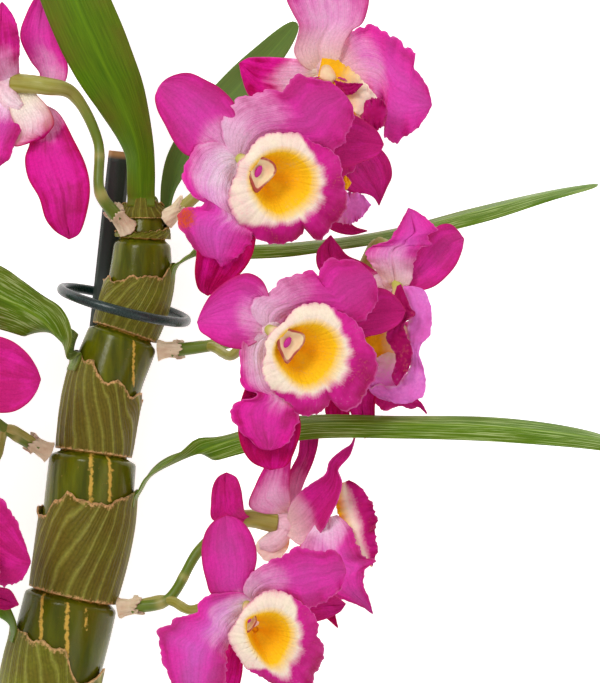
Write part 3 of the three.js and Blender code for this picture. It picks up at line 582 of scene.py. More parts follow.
# Sheaths: khaki brown parchment with raised yellow-green ribs and a dry torn edge.
def makeSheathMaterial(name, look):
    material, tree, shader = newMaterial(name, look["sheath"])
    grainMap = put(tree, "ShaderNodeUVMap", uv_map="grain").outputs[0]
    rib = useGroup(tree, veinGroup, Map=grainMap, Number=19.0, Wander=0.4, Sharp=6.0)["Line"]
    fine = useGroup(tree, veinGroup, Map=grainMap, Number=76.0, Wander=1.5, Sharp=2.0)["Line"]
    tissue = useGroup(tree, tissueGroup, Patch=110.0, Grain=1100.0)
    base = blendOf(tree, calc(tree, "MULTIPLY", tissue["Cloud"], maskOf(tree, "green"), clamp=True),
                   colour(look["sheath"]), colour(look["sheathGreen"]))
    base = blendOf(tree, calc(tree, "MULTIPLY", fine, 0.22), base, colour(look["caneDark"]))
    base = blendOf(tree, calc(tree, "MULTIPLY", rib, 0.5), base, colour(look["rib"]))
    torn = swayed(tree, tissue["Grain"], 0.5, 0.8, maskOf(tree, "torn"))
    base = blendOf(tree, spread(tree, torn, 0.35, 0.8), base, colour(look["torn"]))
    dusty = put(tree, "ShaderNodeHueSaturation", {
        "Color": base, "Value": swayed(tree, tissue["Grain"], 0.5, 0.5, 1.0)})
    tree.links.new(dusty.outputs[0], shader.inputs["Base Color"])
    tree.links.new(calc(tree, "MULTIPLY_ADD", tissue["Grain"], 0.2, 0.32), shader.inputs["Roughness"])
    height = calc(tree, "ADD", rib, calc(tree, "MULTIPLY", fine, 0.35))
    setBump(tree, shader, height, 0.6, 0.0005)
    shader.inputs["Specular IOR Level"].default_value = 0.12
    return material


# Leaf blades: long parallel streaks from dark to light green, a pale midrib line, partly its own colour and partly
# a painted highlight along the fold, and brownish patches.
def makeLeafMaterial(name, look, brown, pale, light):
    material, tree, shader = newMaterial(name, look["leaf"])
    grainMap = put(tree, "ShaderNodeUVMap", uv_map="grain").outputs[0]
    streaks = put(tree, "ShaderNodeMapping", {"Vector": grainMap, "Scale": (2.2, 26.0, 1.0)}).outputs[0]
    streak = put(tree, "ShaderNodeTexNoise", {"Vector": streaks, "Scale": 1.0, "Detail": 5.0,
                                              "Roughness": 0.6}).outputs["Fac"]
    vein = useGroup(tree, veinGroup, Map=grainMap, Number=22.0, Wander=0.5, Sharp=4.0)["Line"]
    tissue = useGroup(tree, tissueGroup, Patch=60.0, Grain=900.0)
    base = blendOf(tree, spread(tree, streak, 0.22, 0.62), colour(look["leafDark"]), colour(look["leaf"]))
    base = blendOf(tree, calc(tree, "MULTIPLY", spread(tree, streak, 0.45, 0.8), light), base,
                   colour(look["leafLight"]))
    base = blendOf(tree, calc(tree, "MULTIPLY",
                              calc(tree, "MULTIPLY", tissue["Cloud"], maskOf(tree, "edge")), brown),
                   base, colour(look["leafBrown"]))
    stripes = calc(tree, "MULTIPLY", spread(tree, streak, 0.52, 0.6), pale)
    base = blendOf(tree, stripes, base, colour(look["leafPale"]))
    base = blendOf(tree, calc(tree, "MULTIPLY", vein, 0.12), base, colour(look["leafLight"]))
    # midrib: a lighter line, partly its own colour and partly a painted highlight along the fold
    base = blendOf(tree, calc(tree, "MULTIPLY", maskOf(tree, "midrib"), 0.5), base, colour(look["leafLight"]))
    base = blendOf(tree, calc(tree, "MULTIPLY", maskOf(tree, "behind"), 0.12), base, colour(look["leafPale"]))
    tree.links.new(base, shader.inputs["Base Color"])
    tree.links.new(calc(tree, "MULTIPLY_ADD", tissue["Cloud"], 0.14, 0.3), shader.inputs["Roughness"])
    setBump(tree, shader, calc(tree, "MULTIPLY_ADD", streak, 0.5, vein), 0.25, 0.0004)
    shader.inputs["Specular IOR Level"].default_value = 0.12
    return material


# Stems: olive, greener where the mask fresh is set, pale at their joints.
def makeStemMaterial(name, look):
    material, tree, shader = newMaterial(name, look["stem"])
    grainMap = put(tree, "ShaderNodeUVMap", uv_map="grain").outputs[0]
    streaks = put(tree, "ShaderNodeMapping", {"Vector": grainMap, "Scale": (3.0, 14.0, 1.0)}).outputs[0]
    streak = put(tree, "ShaderNodeTexNoise", {"Vector": streaks, "Scale": 1.0, "Detail": 3.0}).outputs["Fac"]
    tissue = useGroup(tree, tissueGroup, Patch=160.0, Grain=1000.0)
    base = blendOf(tree, spread(tree, streak, 0.35, 0.7), colour(look["stem"]), colour(look["stemPale"]))
    base = blendOf(tree, maskOf(tree, "fresh"), base, colour(look["stemGreen"]))
    base = blendOf(tree, calc(tree, "MULTIPLY", maskOf(tree, "joint"), 0.8), base, colour(look["stemPale"]))
    base = blendOf(tree, calc(tree, "MULTIPLY", tissue["Cloud"], 0.25), base, colour(look["caneBrown"]))
    tree.links.new(base, shader.inputs["Base Color"])
    tree.links.new(calc(tree, "MULTIPLY_ADD", tissue["Grain"], 0.2, 0.32), shader.inputs["Roughness"])
    setBump(tree, shader, streak, 0.3, 0.0004)
    return material


# Bracts: thin dry paper, tan with brown veins.
def makeBractMaterial(name, look):
    material, tree, shader = newMaterial(name, look["bract"])
    grainMap = put(tree, "ShaderNodeUVMap", uv_map="grain").outputs[0]
    vein = useGroup(tree, veinGroup, Map=grainMap, Number=9.0, Wander=1.6, Sharp=5.0)["Line"]
    tissue = useGroup(tree, tissueGroup, Patch=260.0, Grain=1400.0)
    base = blendOf(tree, calc(tree, "MULTIPLY", tissue["Cloud"], 0.6), colour(look["bract"]),
                   colour(look["bractBrown"]))
    base = blendOf(tree, calc(tree, "MULTIPLY", vein, 0.2), base, colour(look["bractBrown"]))
    tree.links.new(base, shader.inputs["Base Color"])
    tree.links.new(calc(tree, "MULTIPLY_ADD", tissue["Grain"], 0.2, 0.5), shader.inputs["Roughness"])
    setBump(tree, shader, calc(tree, "ADD", vein, tissue["Grain"]), 0.25, 0.0003)
    shader.inputs["Specular IOR Level"].default_value = 0.12
    return material


# Plastic of the stake and the ring, a little worn; the mask cut bares the stake's core at its end.
def makePlasticMaterial(name, main, worn, roughness):
    material, tree, shader = newMaterial(name, main)
    tissue = useGroup(tree, tissueGroup, Patch=140.0, Grain=1800.0)
    base = blendOf(tree, calc(tree, "MULTIPLY", tissue["Cloud"], 0.4), colour(main), colour(worn))
    base = blendOf(tree, spread(tree, maskOf(tree, "cut"), 0.3, 0.7), base, colour(greenLook["core"]))
    tree.links.new(base, shader.inputs["Base Color"])
    tree.links.new(calc(tree, "MULTIPLY_ADD", tissue["Grain"], 0.15, roughness), shader.inputs["Roughness"])
    setBump(tree, shader, tissue["Grain"], 0.15, 0.0003)
    return material


caneMaterial = makeCaneMaterial("caneSkin", greenLook)
sheathMaterial = makeSheathMaterial("sheathParchment", greenLook)
stemMaterial = makeStemMaterial("stemSkin", greenLook)
bractMaterial = makeBractMaterial("bractPaper", greenLook)
stakeMaterial = makePlasticMaterial("stakePlastic", "#16241a", "#24342a", 0.4)
ringMaterial = makePlasticMaterial("ringPlastic", "#172a26", "#22403a", 0.2)
print("green materials made")

# The cane. Above each node stands a segment that swells a little and ends at the next node.
cane = {
    "route": [(-83.5, -140, 21.5), (-80, -121, 22.5), (-74.4, -98.5, 23.3), (-68.7, -76.7, 23.6),
              (-64.5, -55, 23.4), (-62.4, -34, 23), (-58.8, -13, 21.4), (-53.2, 2.3, 20), (-48.9, 17, 19.4),
              (-47.6, 31, 19.5), (-47.4, 45, 20)],
    "nodes": [-140, -121, -76.7, -34, 2.3, 31, 45],
    "low": [14.2, 13.2, 12.5, 10.6, 9.0, 7.4], "high": [14.4, 14.2, 13.2, 10.9, 8.5, 4.0],
    "swell": [0.2, 0.6, 0.6, 0.3, 0.9, 0.2],
    "groove": 0.45, "rows": 300, "sides": 96,
    # dry cracks, as picture column, first and last row, and width in degrees
    "cracks": [(134, 336, 384, 2.6), (92, 452, 508, 2.8), (111, 452, 503, 2.8), (42, 596, 646, 2.6),
               (69, 598, 655, 2.8), (88, 600, 626, 2)],
}
caneLine = smoothPath(cane["route"], 600)
caneWay = tangentsOf(caneLine)


# A point at a height on the cane, at an angle round it (0 to the right, 90 degrees up) and a radius.
def aroundCane(height, angle, radius):
    height, angle, radius = np.broadcast_arrays(*(np.asarray(a, float) for a in (height, angle, radius)))
    centre = np.stack([np.interp(height, caneLine[:, 1], caneLine[:, k]) for k in range(3)], axis=-1)
    tangent = unit(np.stack([np.interp(height, caneLine[:, 1], caneWay[:, k]) for k in range(3)], axis=-1))
    front, beside = crossing(tangent, (0, 0, 1))
    right = beside * np.sign(beside[..., :1])
    return centre + right * (np.cos(angle) * radius)[..., None] + front * (np.sin(angle) * radius)[..., None]


# The cane's radius at a height: a mix from the segment's low to its high radius, plus swell x sin(pi x share).
def caneRadius(height):
    nodes = np.array(cane["nodes"])
    k = np.clip(np.searchsorted(nodes, height, side="left") - 1, 0, len(nodes) - 2)
    share = np.clip((height - nodes[k]) / (nodes[k + 1] - nodes[k]), 0, 1)
    low, high, swell = (np.array(cane[name])[k] for name in ("low", "high", "swell"))
    return mix(low, high, share) + swell * np.sin(math.pi * share)


def caneSkinRadius(height):
    inner = np.array(cane["nodes"][1:-1])[:, None]
    near = np.exp(-(((height - inner) / 1.3) ** 2)).sum(axis=0)
    steps = np.array([min(h, l) for h, l in zip(cane["high"][:-1], cane["low"][1:])])[:, None]
    at = np.exp(-(((height - inner) / 0.9) ** 2))
    smooth = caneRadius(height) * (1 - at.sum(axis=0)) + (at * steps).sum(axis=0)
    tip = np.clip((height - 43) / 2, 0, 1)
    return (smooth - cane["groove"] * near) * np.sqrt(np.clip(1 - 0.75 * tip**2, 0.02, 1))


def makeCane():
    height = np.linspace(cane["nodes"][0], cane["nodes"][-1], cane["rows"])
    angle = wholeTurn(cane["sides"])
    h, a = np.meshgrid(height, angle, indexing="ij")
    lumps = 0.12 * np.sin(3 * a + h * 0.11) + 0.08 * np.sin(7 * a - h * 0.23)
    grid = aroundCane(h, a, caneSkinRadius(height)[:, None] + lumps * 0.6 - 0.1)
    inner = np.array(cane["nodes"][1:-1])[:, None, None]
    ringHere = np.exp(-(((h - 0.4 - inner) / 0.55) ** 2)).max(axis=0)
    crack = np.zeros_like(h)
    for column, first, last, width in cane["cracks"]:
        top, bottom = ((drawing["high"] / 2 - row) * drawing["step"] for row in (first, last))
        centre = np.interp(h, caneLine[:, 1], caneLine[:, 0])
        reach = (column - drawing["wide"] / 2) * drawing["step"] - centre[:, :1]
        lean = np.arccos(np.clip(reach / caneRadius(h[:, :1]), -1, 1))
        turn = (a - lean + math.pi) % (2 * math.pi) - math.pi
        within = ease((h - bottom) / 1.5) * ease((top - h) / 1.5)
        crack = np.maximum(crack, within * np.exp(-((turn / (width * degree)) ** 2)))
    low = ease((-30 - h) / 60) * 0.5
    uv = np.stack([(h - height[0]) / (height[-1] - height[0]), a / (2 * math.pi)], axis=-1)
    part = tubePart(grid, uv, {"node": ringHere, "stripe": crack, "low": low})
    return addPiece("caneStem", [part], caneMaterial, ["cane"])


makeCane()
print("cane made")

# Leaves. Each is a sheath round the cane, from the node that bears it up to a torn slanting mouth, and a blade
# that leaves the high side of the mouth. tears are pairs of angle round the cane and how far the mouth is torn
# up or down there; faces are the ways that the blade's hollow side looks at its middle and its tip.
leaves = {
    "leaf_1": {
        "node": 37.4, "side": 95, "low": 40, "high": 43.5,
        "route": [(-48.5, 57, 31), (-53.5, 72, 35), (-59.7, 85, 37.5), (-67.2, 102, 38), (-76, 125, 35),
                  (-83, 147, 28)],
        "faces": [(0.05, 0, -1), (0.1, 0.1, -1)], "half": 10.2, "neck": 4.2, "widest": 0.5,
        "tears": [(20, 0.4), (60, -0.5), (140, -0.3)], "green": 1.0, "look": (0.9, 0.0, 0.25),
        "shades": {"leafLight": "#6f9214"},
    },
    "leaf_2": {
        "node": 31.3, "side": -32, "low": 33.2, "high": 35,
        "route": [(-38.6, 48, 11), (-36, 56, 9.5), (-28.5, 67, 9.5), (-18, 78.5, 10), (-9, 88, 9), (-1, 97.5, 7)],
        "faces": [(-0.3, 0.3, 0.95), (0.1, 0.1, 1)], "half": 5.6, "neck": 3.0, "widest": 0.55,
        "tears": [], "green": 1.0, "look": (0.2, 0.0, 0.05),
        "shades": {"leaf": "#44700a", "leafDark": "#2f5806", "leafLight": "#5f8a1c"},
    },
    "leaf_3": {
        "node": 2.7, "side": 12, "low": 16.8, "high": 22,
        "route": [(-30.5, 26.3, 24), (-18, 27.8, 23), (0, 28.8, 21.5), (28.8, 33.1, 19.5), (54, 39.2, 17),
                  (76, 45, 13), (91, 48, 8)],
        "faces": [(-0.1, -0.92, -0.4), (0.1, -0.9, -0.4)], "half": 5.4, "neck": 2.6, "widest": 0.6,
        "tears": [(150, 1.6), (130, -0.8), (100, 1.4), (75, 0.6), (50, -1.2)], "green": 0.9,
        "look": (0.2, 0.5, 0.8),
    },
    "leaf_4": {
        "node": -33.6, "side": 160, "low": -14.5, "high": -9.5,
        "route": [(-71.5, 0, 29), (-78, 7, 32.5), (-90, 13.5, 34.5), (-108, 21, 31.5), (-122, 27, 25),
                  (-133, 31, 18)],
        "faces": [(0.35, -0.55, -0.75), (0.15, -0.3, -1)], "half": 10.2, "neck": 4.2, "widest": 0.5,
        "tears": [(115, 2.2), (90, -0.6), (68, 2.0), (45, -1.2), (22, 1.8), (0, -1.0)], "green": 0.25,
        "look": (0.8, 0.45, 0.3),
    },
    "leaf_5": {
        "node": -76.3, "side": 8, "low": -51, "high": -46,
        "route": [(-45, -40.5, 27), (-36, -35.5, 31), (-18, -29, 37), (0, -25, 40), (30, -24.8, 40.5),
                  (60, -25.8, 35), (88, -29.3, 22), (101, -33, 11), (109.7, -36.8, -1)],
        "faces": [(-0.1, -0.75, -0.65), (0.05, -0.6, -0.8)], "half": 5.3, "neck": 3.6, "widest": 0.4,
        "tears": [(165, -2.6), (148, -2.8), (132, 2.6), (112, 4.6), (95, 1.6), (80, 0.8), (62, -0.4), (45, 0.6)],
        "green": 0.35, "look": (0.3, 0.55, 1.0),
    },
    "leaf_6": {
        "node": -120.6, "side": 165, "low": -97, "high": -91,
        "route": [(-93, -80, 29), (-101, -68, 28), (-110, -58, 22), (-121, -48, 12), (-130, -41, -1)],
        "faces": [(0.5, -0.5, -0.7), (0.35, -0.3, -0.9)], "half": 9.5, "neck": 4.2, "widest": 0.5,
        "tears": [(130, 1.8), (105, 3.8), (82, 4.8), (70, -0.6), (52, -3.4), (34, -1.0), (16, 2.8)], "green": 0.9,
        "look": (0.6, 0.0, 0.3),
    },
}
sheath = {"clear": 0.42, "wall": 0.8, "rows": 50, "sides": 120, "ribs": 19, "ribHeight": 0.16, "raggedness": 0.55}
bladeThickness, bladeGrain = 0.7, (150, 27)


def turnFrom(angle, side):  # how far round the cane, from -pi to pi
    return (angle - side * degree + math.pi) % (2 * math.pi) - math.pi


# A sheath's mouth: a mix from low to high by ((1 + cos(turn)) / 2)^2, a collar that rises into the leaf, the
# tears as bumps 11 degrees to each side, and a fine ragged edge.
def mouthOf(leaf, angle):
    turn = turnFrom(angle, leaf["side"])
    mouth = mix(leaf["low"], leaf["high"], ((1 + np.cos(turn)) / 2) ** 2)
    mouth = mouth + 2.6 * np.exp(-((turn / (26 * degree)) ** 2))
    for at, rise in leaf["tears"]:
        mouth = mouth + rise * np.exp(-((turnFrom(angle, at) / (11 * degree)) ** 2))
    ragged = np.sin(angle * 17 + leaf["node"]) + 0.7 * np.sin(angle * 41 + 1.3) + 0.5 * np.sin(angle * 67)
    return mouth + sheath["raggedness"] * 0.4 * ragged * (1 - np.exp(-((turn / (24 * degree)) ** 2)))


# A sheath: a thin sleeve on the cane. Its veins and ribs lean towards the leaf as they climb, by
# 0.75 s^1.5 sin(turn), and its mouth curls outwards.
def makeSheath(name, leaf):
    angle = wholeTurn(sheath["sides"])
    share = np.linspace(0, 1, sheath["rows"])
    s, a = np.meshgrid(share, angle, indexing="ij")
    mouth = mouthOf(leaf, angle)[None, :]
    height = mix(leaf["node"], mouth, s)
    turn = turnFrom(a, leaf["side"])
    slope = a + 0.75 * s**1.5 * np.sin(turn) + 0.05 * np.sin(3 * a + leaf["node"]) + 0.04 * np.sin(5 * a)
    rib = np.cos(slope * sheath["ribs"]) * 0.5 + 0.5
    curl = 0.9 * np.clip((s - 0.86) / 0.14, 0, 1) ** 2 * (0.5 + 0.5 * np.sin(a * 5 + leaf["node"]))
    fold = 0.25 * np.sin(a * 4 + s * 3 + leaf["node"])
    rise = sheath["ribHeight"] * rib**4 + fold * s * 0.5 + curl
    base = caneRadius(height) + sheath["clear"] - 0.25 * (1 - s) ** 6
    inner = aroundCane(height, a, base + rise * 0.8)
    outer = aroundCane(height, a, base + sheath["wall"] * mix(1, 0.45, s**6) + rise)
    uv = np.stack([s, slope / (2 * math.pi)], axis=-1)
    torn = np.clip((s - 0.9) / 0.1, 0, 1) ** 1.5 * (1 - 0.85 * np.exp(-((turnFrom(a, leaf["side"]) / 0.5) ** 2)))
    torn = np.maximum(torn, 0.8 * np.clip(1 - s / 0.05, 0, 1))
    green = np.clip(leaf["green"] + 0.8 * np.exp(-((turnFrom(a, leaf["side"]) / 0.7) ** 2)) * s, 0, 1)
    part = sleevePart(outer, inner, uv, {"torn": torn, "green": green})
    addPiece(name + "_sheath", [part], sheathMaterial)


# A blade along its route, folded into an open V across its midrib. Its half width opens from the neck to the
# widest place and closes as sqrt(1 - x^2.2) to the tip; long shallow waves run along its margins.
def makeBlade(name, leaf):
    side = leaf["side"] * degree
    wall = lambda height, out: aroundCane(height, side, caneRadius(np.array([height]))[0] + 0.95 + out)
    foot = [wall(leaf["high"] - 2.6, 0), wall(leaf["high"], 0), wall(leaf["high"] + 2, 1.2)]
    u = np.linspace(0, 1, bladeGrain[0])
    v = np.linspace(-1, 1, bladeGrain[1])
    line = smoothPath(np.vstack([foot, leaf["route"]]), len(u))
    tangent = tangentsOf(line)
    inwards = aroundCane(leaf["high"], side, 0) - aroundCane(leaf["high"], side, 1)
    middle, last = (unit(np.array(f, float)) for f in leaf["faces"])
    early, late = ease(u / 0.4)[:, None], np.clip((u - 0.4) / 0.6, 0, 1)[:, None]
    face = np.where(u[:, None] < 0.4, mix(inwards, middle, early), mix(middle, last, late))
    front, beside = crossing(tangent, face)
    opening = ease(u / leaf["widest"])
    closing = np.sqrt(np.maximum(0, 1 - np.clip((u - leaf["widest"]) / (1 - leaf["widest"]), 0, 1) ** 2.2))
    half = mix(leaf["neck"], leaf["half"], opening) * mix(0.05, 1, closing)
    fold = np.where(u < 0.14, mix(5, 34, ease(u / 0.14)), mix(34, 12, ease((u - 0.14) / 0.22))) * degree
    h = half[:, None] * v[None, :]
    soft = np.sqrt(h**2 + 0.5)
    wave = 0.35 * np.sin(u * 14 + 1)[:, None] * v[None, :] ** 2 * np.sign(v)[None, :] * ease(u / 0.2)[:, None]
    grid = (line[:, None] + beside[:, None] * (h * np.cos(fold)[:, None])[..., None]
            + front[:, None] * ((soft - 0.7) * np.sin(fold)[:, None] + wave * closing[:, None])[..., None])
    uu, vv = np.meshgrid(u, v, indexing="ij")
    uv = np.stack([uu * 4, vv * 0.5 + 0.5], axis=-1)
    edge = np.clip(np.abs(vv) * 1.3, 0, 1) * (1 - 0.5 * uu)
    # midrib: where the lighter line, partly a painted highlight, runs
    masks = {"midrib": np.exp(-((vv / 0.05) ** 2)), "edge": edge}
    brown, pale, light = leaf["look"]
    material = makeLeafMaterial(name + "_skin", {**greenLook, **leaf.get("shades", {})}, brown, pale, light)
    blade = bladePart(grid, bladeThickness, uv, masks)
    blade["points"][:, 2] = np.maximum(blade["points"][:, 2], 0.0)
    addPiece(name + "_blade", [blade], material, [name])


for leafName, leafShape in leaves.items():
    makeSheath(leafName, leafShape)
    makeBlade(leafName, leafShape)
print("leaves made")

# Flower stalks. Each leaves the cane at a node inside a dry bract, then forks to its flowers.
stalks = {
    "stalk_1": {"height": 37, "side": 12, "lean": 6, "flowers": ["flower_a", "flower_b"], "fresh": [0, 0]},
    "stalk_2": {"height": 1, "side": 8, "lean": 3, "flowers": ["flower_c", "flower_d"], "fresh": [0, 1]},
    "stalk_3": {"height": -77, "side": 10, "lean": 3, "flowers": ["flower_e", "flower_f"], "fresh": [0, 1]},
    "stalk_4": {"height": -35, "side": 160, "lean": 2.5, "flowers": ["flower_g", "flower_h"], "fresh": [1, 0]},
    "stalk_5": {"height": 34.2, "side": 128, "lean": 7, "flowers": ["flower_i"], "fresh": [1]},
}
stems = {
    "flower_a": {"centre": (-16.4, 51.2, 66), "facing": (0.34, -0.2, 0.91), "via": [(-24, 46, 42)]},
    "flower_b": {"centre": (7.5, 81.5, 32), "facing": (0.1, -0.1, 0.98), "via": [(-12, 60, 20)]},
    "flower_c": {"centre": (-8.2, 3.4, 66), "facing": (0.34, -0.16, 0.92), "via": [(-20, -4, 40)]},
    "flower_d": {"centre": (27.5, 18.5, 38), "facing": (0.25, -0.72, 0.63), "via": [(0, 4, 22), (16, 16, 24)]},
    "flower_e": {"centre": (-13.5, -77.5, 62), "facing": (0.34, -0.34, 0.88), "via": [(-32, -80, 38)]},
    "flower_f": {"centre": (-4, -55, 27), "facing": (0.96, -0.12, -0.22), "via": [(-30, -62.5, 24)]},
    "flower_g": {"centre": (-111, -10, 46), "facing": (-0.3, 0.1, 0.93), "via": []},
    "flower_h": {"centre": (-112, -58, 42), "facing": (-0.3, -0.2, 0.93), "via": [(-92, -36, 26)]},
    "flower_i": {"centre": (-88, 77.5, 36), "facing": (-0.75, 0.1, -0.4), "via": [(-60.5, 60, 33), (-68, 74, 36)]},
}
bract = {"length": 9, "reach": 0.72, "foot": 3.2, "mouth": 2.3, "flare": 0.7, "wrinkle": 0.28}


# A bract: a papery cone round the stalk's foot, radius foot to mouth with a flared, wavy, torn mouth.
def bractPart(start, fork, side):
    rows, columns = 26, 64
    line = smoothPath([start, mix(start, fork, 0.5), fork], rows)
    front, beside = crossing(tangentsOf(line), (0.3, 0.1, 1))
    turn = wholeTurn(columns)
    s = np.linspace(0, 1, rows)[:, None]
    radius = mix(bract["foot"], bract["mouth"], s) - 0.5 * np.sin(math.pi * s) + bract["flare"] * s**4
    radius = radius + bract["wrinkle"] * (np.sin(5 * turn + s * 5 + side) * 0.6 + np.sin(11 * turn - s * 7) * 0.4)
    out = front[:, None] * np.cos(turn)[None, :, None] + beside[:, None] * np.sin(turn)[None, :, None]
    torn = 1.1 * np.sin(turn * 3 + side) + 0.5 * np.sin(turn * 13)
    tangent = tangentsOf(line)
    grid = line[:, None] + out * radius[..., None] + tangent[:, None] * (torn * s**5)[..., None]
    return tubePart(grid)


# A flower's stem: from the fork along its heading and through its via points to the flower's back; its end
# thickens into the ovary, and a joint swells where the stem starts.
def pedicelPart(fork, heading, stem, fresh):
    facing = unit(np.array(stem["facing"]))
    centre = np.array(stem["centre"])
    route = [fork - heading * 5, fork + heading * 6, *map(np.array, stem["via"]), centre - facing * 14,
             centre - facing * 3.4]
    rows, sides = 90, 24
    line = smoothPath(route, rows)
    t = np.linspace(0, 1, rows)
    joint = np.exp(-(((t - 0.16) / 0.025) ** 2)) + 0.7 * np.exp(-(((t - 0.34) / 0.02) ** 2))
    part = stemPart(line, [2.1, 1.6, 1.5, 1.7, 2.6, 3.0], sides, swell=1 + 0.09 * joint - 0.05 * (fresh < 1))
    green = fresh * ease((0.75 - t) / 0.3)
    part["masks"] = {name: np.concatenate([np.repeat(mask, sides), [0, 0]])
                     for name, mask in (("fresh", green), ("joint", joint))}
    return part


def makeStalk(name, stalk):
    side = stalk["side"] * degree
    radius = caneRadius(np.array([float(stalk["height"])]))[0]
    start = aroundCane(stalk["height"], side, radius + 0.6)
    fork = aroundCane(stalk["height"] + stalk["lean"], side, radius + bract["length"])
    middle = aroundCane(stalk["height"] + stalk["lean"] * 0.3, side, radius + bract["length"] * 0.45)
    heading = unit(fork - middle)
    parts = [pedicelPart(fork, heading, stems[flower], fresh)
             for flower, fresh in zip(stalk["flowers"], stalk["fresh"])]
    addPiece(name + "_stems", parts, stemMaterial, [name])
    mouth = mix(start, fork, bract["reach"])
    addPiece(name + "_bract", [bractPart(start, mouth, stalk["side"])], bractMaterial)


for stalkName, stalkShape in stalks.items():
    makeStalk(stalkName, stalkShape)
print("stalks made")

stake = {"top": (-54.9, 58, 8.6), "bottom": (-77.8, -148, 2.7), "wide": 7.6, "deep": 5.6, "ribs": 5, "fit": 0.94}


# The stake: a rounded bar with shallow ribs along it and rough cut ends.
def makeStake():
    top, bottom = np.array(stake["top"]), np.array(stake["bottom"])
    rows, sides = 60, 64
    share = np.linspace(0, 1, rows)
    line = bottom + (top - bottom) * share[:, None]
    front, beside = crossing(tangentsOf(line), (0, 0, 1))
    turn = wholeTurn(sides)
    corner = lambda a: np.sign(a) * np.abs(a) ** 0.75
    ribs = 1 - 0.035 * (0.5 + 0.5 * np.cos(turn * 2 * stake["ribs"]))
    x, z = corner(np.cos(turn)) * ribs * stake["wide"] / 2, corner(np.sin(turn)) * ribs * stake["deep"] / 2
    x, z = x * stake["fit"], z * stake["fit"]
    grid = line[:, None] + beside[:, None] * x[None, :, None] + front[:, None] * z[None, :, None]
    cut = np.repeat(np.exp(-(((share - 1) / 0.008) ** 2))[:, None], sides, axis=1)
    part = tubePart(grid, masks={"cut": cut})
    part["masks"]["cut"][-1] = 1.0
    part["points"][:, 2] = np.maximum(part["points"][:, 2], 0.0)
    addPiece("plantStake", [part], stakeMaterial, ["stake"])


ring = {"centre": (-53.2, 11.1, 20.4), "radius": 19.6, "wall": 1.25, "high": 1.5,
        "axis": (0.25, 0.955, 0.105), "steps": 160, "sides": 24}


# The ring: an oval section carried round a circle.
def makeRing():
    axis = unit(np.array(ring["axis"]))
    front, beside = crossing(axis[None], (0, 0, 1))
    around = np.linspace(0, 2 * math.pi, ring["steps"] + 1)[:-1]
    section = wholeTurn(ring["sides"])
    out = front * np.cos(around)[:, None] + beside * np.sin(around)[:, None]
    across = ring["radius"] + ring["wall"] * np.cos(section)
    points = (np.array(ring["centre"]) + out[:, None] * across[None, :, None]
              + axis * (ring["high"] * np.sin(section))[None, :, None])
    points[..., 2] = np.maximum(points[..., 2], 0.0)
    count, sides = points.shape[:2]
    i, j = np.meshgrid(np.arange(count), np.arange(sides), indexing="ij")
    i2, j2 = (i + 1) % count, (j + 1) % sides
    quads = np.stack([i * sides + j, i2 * sides + j, i2 * sides + j2, i * sides + j2], axis=-1).reshape(-1, 4)
    part = partOf(points.reshape(-1, 3), quads)
    addPiece("holdingRing", [part], ringMaterial, ["ring"])


makeStake()
makeRing()
print("stake and ring made")

# Flowers. Each sepal and petal is a blade between two outlines that run from its foot to its tip, given in the
# picture; the flower's plane, or its own heights, say how deep it lies. rise is how far it stands in front of
# that along its length, and pale, lilac, deep and cream set its colours; a high deep is also painted shade on a
# tepal that lies in shadow.
sepalDefault = {"kind": "sepal", "layer": -0.8, "rise": [0, 1.5, 1.2, -1.5], "lean": 0.0, "cup": 1.6, "ruffle": 0.0,
                "waves": 2.0, "pale": 0.3, "side": 0.0, "lilac": 0.0, "deep": 0.25, "cream": 0.0, "frill": 0.0,
                "crease": 0.35, "height": None, "phase": 0.0, "rust": None}
# the side sepals that bend away behind the petals get a high deep below: partly their own colour, partly painted
# shade
lowSepal = dict(sepalDefault, rise=[0, -2.5, -2.0, -1.5])  # one that bends away behind the petals
petalDefault = dict(sepalDefault, kind="petal", layer=0.9, rise=[0, 2.5, 3.5, 2.0], cup=-0.8, ruffle=1.1, waves=3.5,
                    pale=0.42, frill=0.03, crease=0.25, deep=0.1)

